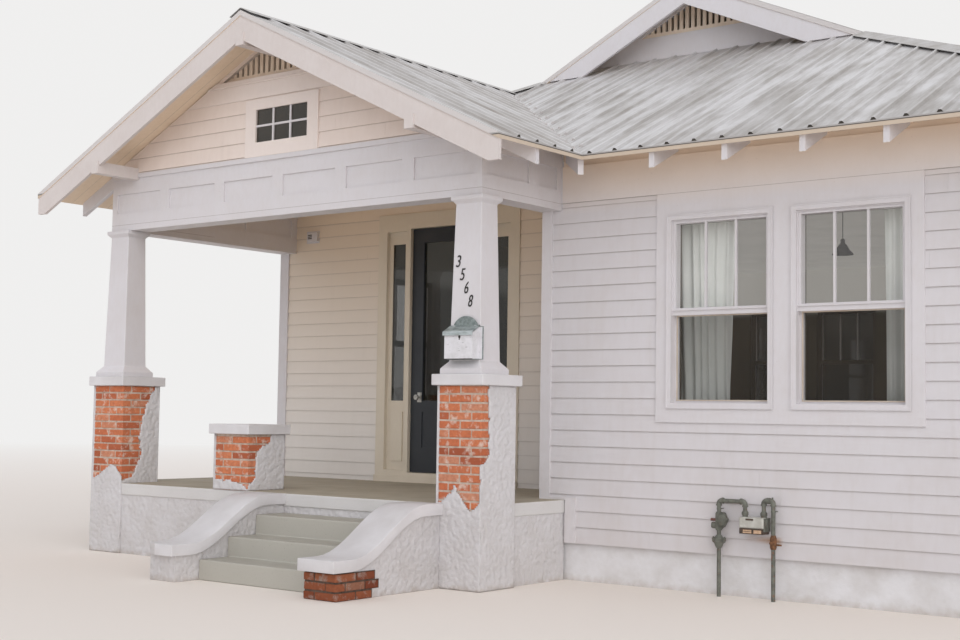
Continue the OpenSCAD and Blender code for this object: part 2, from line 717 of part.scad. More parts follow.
module right_wall() site() color("white") difference() {
    along_y(wall_t, house_depth - wall_t, [[front_w - wall_t, siding_z], [front_w, siding_z],
        [front_w, right_top(front_w) - under], [front_w - wall_t, right_top(front_w - wall_t) - under]]);
    for (i = [0, 1]) at_right(i) pair_holes(-wall_t, 2 * wall_t);
}
module left_wall() site() color("white") difference() {
    along_y(entry_setback + wall_t, house_depth - wall_t, [[-entry_w, siding_z],
        [-entry_w + wall_t, siding_z], [-entry_w + wall_t, left_top(-entry_w + wall_t) - under],
        [-entry_w, left_top(-entry_w) - under]]);
    for (i = [0, 1]) at_left(i) pair_holes(-wall_t, 2 * wall_t);
    over_back_slope();
}
module back_wall() site() color("white") difference() {
    along_x(-entry_w, front_w, [[house_depth - wall_t, siding_z], [house_depth, siding_z],
        [house_depth, back_top(house_depth) - under],
        [house_depth - wall_t, back_top(house_depth - wall_t) - under]]);
    for (i = [0, 1]) at_back(i) pair_holes(-wall_t, 2 * wall_t);
    over_right_slope();
    over_left_slope();
}
module over_left_slope() let (x = -entry_w + 3 * wall_t) along_y(-far, far, [
    [-entry_w - 1, left_top(-entry_w - 1) - under], [x, left_top(x) - under], [x, far],
    [-entry_w - 1, far]]);
module over_back_slope() let (y = house_depth - 3 * wall_t) along_x(-far, far, [
    [y, back_top(y) - under], [house_depth, back_top(house_depth) - under], [house_depth, far],
    [y, far]]);
module return_wall() site() color("white")
    span([0, wall_t, siding_z], [wall_t, entry_setback + wall_t, plate_z]);
module entry_wall_left() site() color("white")
    span([-entry_w, entry_setback, siding_z],
        [entry_x - doorway_half, entry_setback + wall_t, plate_z]);
module entry_wall_right() site() color("white")
    span([entry_x + doorway_half, entry_setback, siding_z], [0, entry_setback + wall_t, plate_z]);
module entry_wall_middle() site() color("white") {
    span([entry_x - doorway_half, entry_setback, doorway_top + head_t],
        [entry_x + doorway_half, entry_setback + wall_t, plate_z]);
    span([entry_x - doorway_half, entry_setback, siding_z],
        [entry_x + doorway_half, entry_setback + wall_t, floor_z - head_t]);
}

// Boards at the outside corners, and the frieze board over the front windows
module corner_board(x, y, sx, sy, z0, z1) {
    span([min(x, x - sx * corner_w), min(y, y + sy * corner_out), z0],
        [max(x, x - sx * corner_w), max(y, y + sy * corner_out), z1]);
    span([min(x, x + sx * corner_out), min(y + sy * corner_out, y - sy * corner_w), z0],
        [max(x, x + sx * corner_out), max(y + sy * corner_out, y - sy * corner_w), z1]);
}
module corner_boards() site() color("white") {
    span([0, -corner_out, slab_z], [corner_w, 0, beam_z]);
    span([slab_right + 10, -corner_out, siding_z], [slab_right + 10 + corner_w, 0, slab_z + 20]);
    span([corner_w, -corner_out, slab_z], [slab_right + 10, 0, slab_z + 20]);
    span([beam_right, -corner_out, frieze_z], [front_w + corner_out, 0, frieze_z + frieze_h]);
    corner_board(front_w, 0, 1, -1, siding_z, frieze_z);
    corner_board(front_w, house_depth, 1, 1, siding_z, frieze_z);
    corner_board(-entry_w, house_depth, -1, 1, siding_z, frieze_z);
    corner_board(-entry_w, entry_setback, -1, -1, slab_z, beam_z);
    span([-entry_w - corner_out, entry_setback, siding_z],
        [-entry_w, entry_setback + corner_w, slab_z]);
    span([-entry_w + 354, entry_setback - 12, beam_z + 95],
        [-entry_w + 534, entry_setback, beam_z + 223]);
}

// One hung window: frame, upper and lower sash as one piece round the panes
module pane_space(z0, z1, y, m) span([-window_w / 2 + frame_face + sash_face - m, y, z0 - m],
    [window_w / 2 - frame_face - sash_face + m, y + glass_t, z1 + m]);
module window_frame() translate([0, 0, window_z]) difference() {
    span([-window_w / 2, -casing_out - 8, 0], [window_w / 2, frame_d - casing_out, window_h]);
    inner = frame_face + sash_face;
    for (z = [[inner, meeting_up - meeting_h / 2], [meeting_up + meeting_h / 2, window_h - inner]])
        span([-window_w / 2 + inner, -far, z[0]], [window_w / 2 - inner, far, z[1]]);
    span([-window_w / 2 + frame_face, -far, frame_face],
        [window_w / 2 - frame_face, upper_y + sash_d + 2, meeting_up - meeting_h / 2]);
    span([-window_w / 2 + frame_face, -far, meeting_up - meeting_h / 2],
        [window_w / 2 - frame_face, upper_y, window_h - frame_face]);
}
upper_y = 0;
upper_glass_y = upper_y + sash_d / 2 - glass_t / 2;
lower_glass_y = upper_glass_y + sash_d + 2;
module window_panes() translate([0, 0, window_z]) {
    inner = frame_face + sash_face;
    pane_space(inner, meeting_up - meeting_h / 2, lower_glass_y, 0);
    pane_space(meeting_up + meeting_h / 2, window_h - inner, upper_glass_y, 0);
}
module pair(casing_top) {
    for (side = [-1, 1]) translate([side * pair_step, 0, 0]) window_frame();
    difference() {
        span([-pair_w / 2 - casing_w, -casing_out, window_z - apron_h],
            [pair_w / 2 + casing_w, 0, casing_top]);
        pair_holes(-far, far);
    }
}
module pair_panes() for (side = [-1, 1]) translate([side * pair_step, 0, 0]) window_panes();
module front_windows() site() color("white") at_front() pair(frieze_z);
module side_windows() site() color("white") {
    for (i = [0, 1]) {
        at_right(i) pair(window_z + window_h + casing_w);
        at_left(i) pair(window_z + window_h + casing_w);
        at_back(i) pair(window_z + window_h + casing_w);
    }
}
gable_glass_y = -porch_front - 4;
module gable_pane() span([porch_x + gable_window_off - gable_glass_w / 2, gable_glass_y, gable_pane_z],
    [porch_x + gable_window_off + gable_glass_w / 2, gable_glass_y + glass_t, gable_pane_z + gable_glass_h]);
gable_pane_z = belt_z + gable_glass_up;
gable_window_off = 48;
sidelight_mid = door_w / 2 + door_gap + post_w + sidelight_w / 2;
sidelight_y = entry_setback + sidelight_frame + 6;
module sidelight_pane(side) span([entry_x + side * sidelight_mid - sidelight_glass_w / 2, sidelight_y,
        floor_z + pane_up],
    [entry_x + side * sidelight_mid + sidelight_glass_w / 2, sidelight_y + glass_t, pane_top]);
module window_glass() site() color("lightblue", 0.4) {
    at_front() pair_panes();
    for (i = [0, 1]) {
        at_right(i) pair_panes();
        at_left(i) pair_panes();
        at_back(i) pair_panes();
    }
    gable_pane();
    sidelight_pane(-1);
    sidelight_pane(1);
}

// Casing, posts, sidelight frames, head and sill round the door
module door_frame() site() color("white") {
    y0 = entry_setback;
    y1 = door_y + door_t;
    x0 = entry_x - doorway_half;
    x1 = entry_x + doorway_half;
    difference() {
        union() {
            span([x0, y0, floor_z - head_t], [x1, y1, doorway_top + head_t]);
            span([x0, y0, floor_z - head_t], [x1, entry_setback + wall_t, floor_z]);
            span([x0 - entry_casing, y0 - casing_out, slab_z + sill_h],
                [x1 + entry_casing, y0, doorway_top + entry_head]);
            span([x0 - entry_casing, y0 - 2 * casing_out, slab_z], [x1 + entry_casing, y0, slab_z + sill_h]);
        }
        span([entry_x - door_w / 2 - door_gap, -far, floor_z], [entry_x + door_w / 2 + door_gap, far, doorway_top]);
        for (side = [-1, 1]) {
            mid = entry_x + side * sidelight_mid;
            span([mid - sidelight_glass_w / 2, -far, floor_z + pane_up],
                [mid + sidelight_glass_w / 2, far, pane_top]);
            span([mid - sidelight_w / 2 + sidelight_frame, -far, floor_z + sidelight_frame],
                [mid + sidelight_w / 2 - sidelight_frame, y0 + sidelight_frame, doorway_top - sidelight_frame]);
        }
    }
    for (side = [-1, 1]) {
        mid = entry_x + side * sidelight_mid;
        span([mid - sidelight_panel_w / 2, y0 + sidelight_frame - 12, floor_z + panel_gap],
            [mid + sidelight_panel_w / 2, y0 + sidelight_frame, floor_z + pane_up - panel_gap]);
    }
    for (z = [door_z + 180, door_z + door_h / 2, door_z + door_h - 280]) {
        translate([hinge_x, hinge_y, z]) cylinder(r = hinge_r, h = hinge_h);
        span([hinge_x, y1, z], [hinge_x + 40, y1 + 3, z + hinge_h]);
        span([hinge_x, y1, z], [hinge_x + hinge_r - 2, hinge_y, z + hinge_h]);
    }
}

// The door leaf, with its tall pane's opening and a raised panel below
module front_door() site() color([0.13, 0.15, 0.17]) difference() {
    span([entry_x - door_w / 2, door_y, door_z], [entry_x + door_w / 2, door_y + door_t, door_z + door_h]);
    span([entry_x - door_glass_w / 2, -far, floor_z + pane_up], [entry_x + door_glass_w / 2, far, pane_top]);
    difference() {
        span([entry_x - door_glass_w / 2, -far, door_z + door_kick],
            [entry_x + door_glass_w / 2, door_y + 8, floor_z + pane_up - panel_gap]);
        span([entry_x - door_glass_w / 2 + door_groove, -far, door_z + door_kick + door_groove],
            [entry_x + door_glass_w / 2 - door_groove, far, floor_z + pane_up - panel_gap - door_groove]);
    }
}
module door_glass() site() color("lightblue", 0.4)
    span([entry_x - door_glass_w / 2, door_y + door_t / 2 - glass_t / 2, floor_z + pane_up],
        [entry_x + door_glass_w / 2, door_y + door_t / 2 + glass_t / 2, pane_top]);
module door_handle() site() color("darkgray") {
    x = entry_x - door_w / 2 + handle_in;
    z = floor_z + handle_up;
    span([x - 27, door_y - 6, z - 48], [x + 27, door_y, z + 48]);
    translate([x, door_y - 6, z]) rotate([90, 0, 0]) cylinder(r = 9, h = 40);
    translate([x, door_y - 46, z]) rotate([90, 0, 0]) cylinder(r = 26, h = 18);
    span([x - 27, door_y + door_t, z - 48], [x + 27, door_y + door_t + 6, z + 48]);
    translate([x, door_y + door_t + 6, z]) rotate([-90, 0, 0]) cylinder(r = 9, h = 30);
    translate([x, door_y + door_t + 36, z]) rotate([-90, 0, 0]) cylinder(r = 24, h = 18);
}

// Porch slab, notched round the piers, and the stucco wall under it
module pier_shape(x, z0, z1) span([x - pier_w / 2, -pier_front, z0], [x + pier_w / 2, -pier_front + pier_w, z1]);
function slab_plan(m) = [[slab_x0 + m, -slab_front + m], [slab_right - m, -slab_front + m],
    [slab_right - m, 0], [0, 0], [0, entry_setback], [slab_x0 + m, entry_setback]];
module porch_slab() site() color("gray") difference() {
    translate([0, 0, base_z]) linear_extrude(slab_t) polygon(slab_plan(0));
    pier_shape(left_column_x, 0, far);
    pier_shape(right_column_x, 0, far);
}
module porch_base() site() color("whitesmoke") difference() {
    linear_extrude(base_z) polygon(slab_plan(base_inset));
    span([slab_x0 + base_t, -slab_front + base_t, 0],
        [slab_right - base_t - base_inset, entry_setback - base_t, base_z]);
    span([-base_t, -base_t, 0], [0, entry_setback - base_t, base_z]);
    pier_shape(left_column_x, -1, far);
    pier_shape(right_column_x, -1, far);
    treads();
}

// Concrete steps between the cheek walls
module treads() {
    for (i = [1 : riser_n - 1])
        span([steps_x0, -slab_front - top_tread - (i - 1) * tread, 0],
            [steps_x1, -slab_front + base_inset, slab_z - i * rise]);
}
module steps() site() color("darkgray") difference() {
    treads();
    span([steps_x0, -slab_front, base_z], [steps_x1, far, far]);
}

// The coping's top line: flat at the slab, an S down, flat at the toe
function coping_top() = let (
    y0 = -slab_front, y1 = y0 - cheek_head, y3 = y0 - cheek_out + cheek_toe,
    run = y1 - y3, fall = slab_z - cheek_low_z)
    concat([[y0, slab_z], [y1, slab_z]],
        [for (i = [1 : 11]) [y1 - run * i / 12, slab_z - fall * (1 - cos(180 * i / 12)) / 2]],
        [[y3, cheek_low_z], [y0 - cheek_out, cheek_low_z]]);
function lowered(pts, d) = [for (i = [len(pts) - 1 : -1 : 0]) [pts[i].x, pts[i].y - d]];
module cheek(x) {
    top = coping_top();
    low = lowered(top, coping_t);
    toe = -slab_front - cheek_out + 60;
    along_x(x - coping_w / 2, x + coping_w / 2, concat(top, low));
    intersection() {
        along_x(x - cheek_w / 2, x + cheek_w / 2, concat(low,
            [[-slab_front, base_z], [-slab_front + base_inset, base_z], [-slab_front + base_inset, 0],
             [-slab_front - cheek_out, 0]]));
        span([-far, toe, 0], [far, far, far]);
    }
}
module rounded_end(x) {
    end = -slab_front - cheek_out;
    left = x - coping_w / 2;
    linear_extrude(far) union() {
        translate([left + cheek_turn, end]) square([far, far]);
        translate([left, end + cheek_turn]) square([far, far]);
        translate([left + cheek_turn, end + cheek_turn]) circle(r = cheek_turn);
    }
}
module cheek_walls() site() color("white") difference() {
    union() {
        intersection() { cheek(steps_x0 - cheek_w / 2); rounded_end(steps_x0 - cheek_w / 2); }
        cheek(steps_x1 + cheek_w / 2);
    }
    pier_shape(right_column_x, -1, far);
    pier_shape(low_pier_x, slab_z, far);
}

// Brick piers with stucco faces and concrete caps
module pier_cap(x, z) span([x - cap_w / 2, pier_y - cap_w / 2, z], [x + cap_w / 2, pier_y + cap_w / 2, z + pier_cap_t]);
module brick_piers() site() color("sienna") {
    for (x = [left_column_x, right_column_x]) {
        pier_shape(x, 0, pier_z);
        pier_cap(x, pier_z);
    }
    pier_shape(low_pier_x, slab_z, low_pier_z);
    pier_cap(low_pier_x, low_pier_z);
}

// Tapered box columns on a stepped foot, with a small capital
function taper(foot, shaft, neck) = let (h = beam_z - column_z, s = foot_h + foot_slope,
    c = h - 2 * capital_h, wide = neck + 2 * capital_out)
    [[-foot / 2, 0], [foot / 2, 0], [foot / 2, foot_h], [shaft / 2, s], [neck / 2, c],
     [wide / 2, h - capital_h], [wide / 2, h], [-wide / 2, h], [-wide / 2, h - capital_h],
     [-neck / 2, c], [-shaft / 2, s], [-foot / 2, foot_h]];
module porch_columns() site() color("white") for (x = [left_column_x, right_column_x])
    translate([x, column_y, column_z]) intersection() {
        along_y(-far, far, taper(foot_w, shaft_w, neck_w));
        along_x(-far, far, taper(foot_d, shaft_d, neck_d));
    }

// Porch beams with recessed panels and a belt trim
module porch_beams() site() color("white") difference() {
    union() {
        span([beam_left, -porch_front, beam_z], [beam_right, -porch_front + beam_t, belt_z]);
        span([beam_left, -porch_front, beam_z], [beam_left + beam_t, entry_setback, belt_z]);
        span([beam_right - beam_t, -porch_front, beam_z], [beam_right, 0, belt_z]);
        belt();
    }
    for (i = [0 : panel_n - 1])
        span([beam_left + 73 + i * panel_pitch, -far, beam_z + panel_up],
            [beam_left + 73 + i * panel_pitch + panel_w, -porch_front + panel_recess, beam_z + panel_up + panel_h]);
    side_panel(beam_right - panel_recess, beam_right + 1, -porch_front + 61, 548);
    side_panel(beam_right - panel_recess, beam_right + 1, -322, 239);
    side_panel(-far, beam_left + panel_recess, -porch_front + 300, panel_w);
    side_panel(-far, beam_left + panel_recess, -porch_front + 300 + panel_pitch, panel_w);
    for (i = [1 : 3])
        side_panel(beam_left + beam_t - panel_recess, beam_left + beam_t + 1,
            entry_setback - 47 - i * (panel_w + 40), panel_w);
}
module belt() span([beam_left, -porch_front - belt_out, belt_z - belt_h], [beam_right, -porch_front, belt_z]);
module side_panel(x0, x1, y, w) span([x0, y, beam_z + panel_up], [x1, y + w, beam_z + panel_up + panel_h]);
module porch_ceiling() site() color("ivory") translate([0, 0, beam_z + porch_ceiling_up])
    linear_extrude(porch_ceiling_t) polygon([[beam_left + beam_t, -porch_front + beam_t],
        [beam_right - beam_t, -porch_front + beam_t], [beam_right - beam_t, 0], [0, 0],
        [0, entry_setback], [beam_left + beam_t, entry_setback]]);

// Porch gable wall over the beam, with its window and vent openings
module gable_hole(m) span([porch_x + gable_window_off - gable_glass_w / 2 - m, -far, gable_pane_z - m],
    [porch_x + gable_window_off + gable_glass_w / 2 + m, far, gable_pane_z + gable_glass_h + m]);
module gable_wall() site() color("white") difference() {
    along_y(-porch_front, -porch_front + gable_t, [
        [beam_left, belt_z], [beam_right, belt_z], [beam_right, porch_top(beam_right) - under],
        [porch_x, porch_ridge_z - under], [beam_left, left_top(beam_left) - under]]);
    along_y(-far, far, porch_vent);
    gable_hole(20);
}
module gable_window() site() color("white") difference() {
    union() {
        span([porch_x + gable_window_off - gable_glass_w / 2 - gable_casing, -porch_front - casing_out, belt_z],
            [porch_x + gable_window_off + gable_glass_w / 2 + gable_casing, -porch_front,
                gable_pane_z + gable_glass_h + gable_casing * 0.7]);
        intersection() {
            gable_hole(20);
            span([-far, -porch_front - casing_out, 0], [far, -porch_front + gable_t, far]);
        }
    }
    gable_hole(0);
}

// Letter box on the right column: open body, arched back plate and a hinged lid
box_front_y = box_y - box_back_t - box_d;
module mailbox() site() color("white") {
    difference() {
        along_x(box_x - box_w / 2, box_x + box_w / 2, [[box_front_y, box_z], [box_y - box_back_t, box_z],
            [box_y - box_back_t, box_z + box_h + box_rise], [box_front_y, box_z + box_h]]);
        span([box_x - box_w / 2 + box_t, box_front_y + box_t, box_z + box_t],
            [box_x + box_w / 2 - box_t, box_y - box_back_t - box_t, far]);
    }
    span([box_x - box_plate_w / 2, box_y - box_back_t, box_z], [box_x + box_plate_w / 2, box_y - seat, box_arch_z]);
    arch_r = (box_arch * box_arch + box_arch_w * box_arch_w / 4) / (2 * box_arch);
    translate([box_x, box_y - seat, box_arch_z]) rotate([90, 0, 0]) intersection() {
        translate([0, box_arch - arch_r, 0]) cylinder(r = arch_r, h = box_back_t - seat);
        translate([0, far / 2, 0]) cube([far, far, far], center = true);
    }
    for (side = [-1, 1]) {
        x = box_x + side * (box_w / 2 - 30);
        translate([x - 25, lid_hinge_y, lid_hinge_z]) rotate([0, 90, 0]) cylinder(r = lid_hinge_r - 2, h = 50);
        span([x - 10, lid_hinge_y, lid_hinge_z - 2], [x + 10, box_y - box_back_t, lid_hinge_z + 2]);
    }
}
box_arch_z = box_z + box_h + box_rise + 4;
module mailbox_lid() site() color("slategray") difference() {
    drop = (lid_hinge_y - box_front_y + 14) * box_rise / box_d;
    front = box_front_y - 14;
    union() {
        along_x(box_x - box_w / 2 - 8, box_x + box_w / 2 + 8, [
            [lid_hinge_y, lid_hinge_z - lid_t / 2 - 1], [lid_hinge_y, lid_hinge_z + lid_t / 2 + 1],
            [front, lid_hinge_z + lid_t / 2 + 1 - drop], [front, lid_hinge_z - lid_t - 20 - drop],
            [front + lid_t, lid_hinge_z - lid_t - 20 - drop],
            [front + lid_t, lid_hinge_z - lid_t / 2 - 1 - drop + lid_t * box_rise / box_d]]);
        translate([box_x - box_w / 2 - 8, lid_hinge_y, lid_hinge_z]) rotate([0, 90, 0])
            cylinder(r = lid_hinge_r, h = box_w + 16);
        translate([box_x + 12, front + 1, lid_hinge_z - lid_t - 8 - drop]) rotate([90, 0, 0]) cylinder(r = 9, h = 7);
    }
    for (side = [-1, 1]) {
        x = box_x + side * (box_w / 2 - 30);
        translate([x - 14, lid_hinge_y, lid_hinge_z]) rotate([0, 90, 0]) cylinder(r = lid_hinge_r + 4, h = 28);
    }
    translate([box_x - far / 2, lid_hinge_y, lid_hinge_z]) rotate([0, 90, 0])
        cylinder(r = lid_hinge_r - 2 + hinge_gap, h = far);
}

// Four plain numerals made of straight bars, stepping down the column's face
digit_bars = [[1, 2, 3, 4, 7], [1, 3, 4, 6, 7], [1, 3, 4, 5, 6, 7], [1, 2, 3, 4, 5, 6, 7]];
bar_w = 11;
function bar_box(s) = let (w = digit_h * 0.5, h = digit_h)
    s == 1 ? [[0, h - bar_w], [w, h]] : s == 2 ? [[w - bar_w, h / 2], [w, h]] :
    s == 3 ? [[w - bar_w, 0], [w, h / 2]] : s == 4 ? [[0, 0], [w, bar_w]] :
    s == 5 ? [[0, 0], [bar_w, h / 2]] : s == 6 ? [[0, h / 2], [bar_w, h]] :
    [[0, h / 2 - bar_w / 2], [w, h / 2 + bar_w / 2]];
function face_y(z) = column_y - (shaft_d + (neck_d - shaft_d)
    * (z - column_z - foot_h - foot_slope) / (beam_z - 2 * capital_h - column_z - foot_h - foot_slope)) / 2;
module house_numbers() site() color("black") difference() {
    lo = digits_z - 3 * digit_drop - 2 * digit_h;
    hi = digits_z + digit_h;
    first_x = right_column_x + 20 - 1.5 * digit_step - digit_h * 0.67;
    for (i = [0 : 3]) translate([first_x + i * digit_step, 0, digits_z - digit_h - i * digit_drop])
        for (s = digit_bars[i])
            along_y(face_y(lo) - 12, face_y(hi) + 12, [[bar_box(s)[0].x, bar_box(s)[0].y],
                [bar_box(s)[1].x, bar_box(s)[0].y], [bar_box(s)[1].x, bar_box(s)[1].y],
                [bar_box(s)[0].x, bar_box(s)[1].y]]);
    along_x(-far, far, [[face_y(lo) - seat, lo], [face_y(hi) - seat, hi], [far, hi], [far, lo]]);
    along_x(-far, far, [[face_y(lo) - 6, lo], [face_y(hi) - 6, hi], [-far, hi], [-far, lo]]);
}

// Gas meter set on the window wall
module pipe_up(x, z0, z1, r) translate([x, -pipe_out, z0]) cylinder(r = r, h = z1 - z0);
module pipe_over(x0, x1, z, r) translate([x0, -pipe_out, z]) rotate([0, 90, 0]) cylinder(r = r, h = x1 - x0);
module gas_meter() site() color("dimgray") {
    top = meter_top;
    low = 520;
    x2 = meter_x + meter_span;
    in_x = meter_x + 203;
    out_x = meter_x + 354;
    pipe_up(meter_x, 0, top, pipe_r);
    pipe_over(meter_x - 62, meter_x + 54, 403, 40);
    pipe_over(meter_x - 84, meter_x + 60, 555, 52);
    translate([meter_x - 16, -pipe_out, 555]) rotate([0, 90, 0]) cylinder(r = 64, h = 24);
    translate([meter_x, -pipe_out, top]) sphere(r = pipe_r + 6);
    pipe_over(meter_x, in_x, top, pipe_r);
    translate([in_x, -pipe_out, top]) sphere(r = pipe_r + 6);
    pipe_up(in_x, low + 40, top, pipe_r);
    span([meter_x + 165, -pipe_out - 60, low - 45], [meter_x + 382, -pipe_out + 60, low + 65]);
    pipe_up(out_x, low + 40, top + 17, pipe_r);
    translate([out_x, -pipe_out, top + 17]) sphere(r = pipe_r + 6);
    pipe_over(out_x, x2, top + 17, pipe_r);
    translate([x2, -pipe_out, top + 17]) sphere(r = pipe_r + 6);
    pipe_up(x2, 0, top + 17, pipe_r);
    pipe_up(x2, 378, 450, pipe_r + 12);
    pipe_over(x2, x2 + 62, 414, 9);
    span([meter_x - 8, -pipe_out, 640], [meter_x + 8, 0, 656]);
    span([x2 - 8, -pipe_out, 640], [x2 + 8, 0, 656]);
}

// Pendant lamp on its cord under the ceiling
lamp_x = 950;
lamp_y = 3790;
module pendant_lamp() site() color("black") translate([lamp_x, lamp_y, 0]) {
    translate([0, 0, lamp_z]) rotate_extrude() intersection() {
        circle(r = lamp_r);
        square([lamp_r, lamp_r]);
    }
    translate([0, 0, lamp_z + lamp_r - 8]) cylinder(r = 22, h = 60);
    translate([0, 0, lamp_z + lamp_r]) cylinder(r = 4, h = plate_z - ceiling_t - lamp_z - lamp_r);
    translate([0, 0, plate_z - ceiling_t - 25]) cylinder(r = 45, h = 25);
}

// Curtains behind the front windows, on a rod with brackets
module curtains() site() color("linen") {
    rod_z = window_z + window_h + 60;
    rod_y = wall_t + 70;
    x0 = front_pair_x - pair_w / 2 - 60;
    x1 = front_pair_x + pair_w / 2 + 60;
    span([x0, rod_y - curtain_t / 2, floor_z + 30], [x0 + curtain_w, rod_y + curtain_t / 2, rod_z]);
    span([x1 - curtain_w / 2, rod_y - curtain_t / 2, floor_z + 30], [x1, rod_y + curtain_t / 2, rod_z]);
    translate([x0 - 40, rod_y, rod_z]) rotate([0, 90, 0]) cylinder(r = 11, h = x1 - x0 + 80);
    for (x = [x0 - 20, (x0 + x1) / 2, x1 + 20])
        span([x - 8, wall_t, rod_z - 8], [x + 8, rod_y, rod_z + 8]);
}

foundation();
house_floor();
front_wall();
entry_wall_left();
entry_wall_right();
entry_wall_middle();
return_wall();
left_wall();
right_wall();
back_wall();
ceiling();
corner_boards();
front_windows();
side_windows();
window_glass();
door_frame();
front_door();
door_glass();
door_handle();
porch_slab();
porch_base();
brick_piers();
porch_columns();
porch_beams();
porch_ceiling();
gable_wall();
gable_window();
gable_vents();
rake_boards();
left_slope();
porch_slope();
front_slope();
right_slope();
back_slope();
roof_gables();
rafter_tails();
ridge_caps();
steps();
cheek_walls();
mailbox();
mailbox_lid();
house_numbers();
gas_meter();
pendant_lamp();
curtains();
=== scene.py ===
import math
import random

import bmesh
import bpy
from mathutils import Matrix, Vector, noise


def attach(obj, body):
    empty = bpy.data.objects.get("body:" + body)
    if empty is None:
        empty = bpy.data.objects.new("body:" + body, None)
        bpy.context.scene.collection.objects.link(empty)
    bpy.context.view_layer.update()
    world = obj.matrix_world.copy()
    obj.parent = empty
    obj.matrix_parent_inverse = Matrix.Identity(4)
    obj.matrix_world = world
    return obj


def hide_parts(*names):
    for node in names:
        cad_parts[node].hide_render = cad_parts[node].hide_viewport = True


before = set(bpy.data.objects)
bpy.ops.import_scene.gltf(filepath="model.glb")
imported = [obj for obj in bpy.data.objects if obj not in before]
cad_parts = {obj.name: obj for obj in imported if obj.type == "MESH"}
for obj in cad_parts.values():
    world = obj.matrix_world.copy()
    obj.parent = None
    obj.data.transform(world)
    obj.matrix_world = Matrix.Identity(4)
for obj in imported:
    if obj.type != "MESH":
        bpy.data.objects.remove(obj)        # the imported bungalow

for spare in ("Cube", "Camera", "Light"):
    if spare in bpy.data.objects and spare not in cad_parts:
        bpy.data.objects.remove(bpy.data.objects[spare])
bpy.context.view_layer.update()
noise.seed_set(11)
print("frame loaded:", len(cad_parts), "nodes")

# the house is drawn from the left end of its front wall, at ground level, and then set into the frame
corner = Vector((-0.112, -3.866, 0.0))


def rgb(red, green, blue):
    def straight(value):
        value /= 255
        return value / 12.92 if value <= 0.04045 else ((value + 0.055) / 1.055) ** 2.4
    return (straight(red), straight(green), straight(blue), 1.0)


# finishes
def sign(operation, swapped=False):
    # what a + or - between two wires, or a wire and a number, does
    def work(self, other):
        first, second = (other, self) if swapped else (self, other)
        return self.maths(operation, first, second)
    return work


class Wire:
    # a socket that can be used in sums
    def __init__(self, finish, socket):
        self.finish = finish
        self.socket = socket

    def maths(self, operation, first, second):
        return self.finish.add("ShaderNodeMath", {"operation": operation}, {0: first, 1: second})

    def __abs__(self):
        return self.maths("ABSOLUTE", self, 0)

    __add__ = sign("ADD")
    __radd__ = sign("ADD", True)
    __sub__ = sign("SUBTRACT")
    __rsub__ = sign("SUBTRACT", True)
    __mul__ = sign("MULTIPLY")
    __rmul__ = sign("MULTIPLY", True)
    __gt__ = sign("GREATER_THAN")
    __lt__ = sign("LESS_THAN")
    __mod__ = sign("FLOORED_MODULO")


class Graph:
    def __init__(self, owner):
        owner.use_nodes = True
        self.tree = owner.node_tree

    def add(self, kind, settings=None, inputs=None, output=0):
        node = self.tree.nodes.new(kind)
        for key, value in (settings or {}).items():
            if key == "stops":
                elements = node.color_ramp.elements
                while len(elements) < len(value):
                    elements.new(0.5)
                for element, (place, colour) in zip(elements, value):
                    element.position = place
                    element.color = colour
            else:
                setattr(node, key, value)
        for key, value in (inputs or {}).items():
            if isinstance(value, Wire):
                self.tree.links.new(value.socket, node.inputs[key])
            else:
                node.inputs[key].default_value = value
        return Wire(self, node.outputs[output])


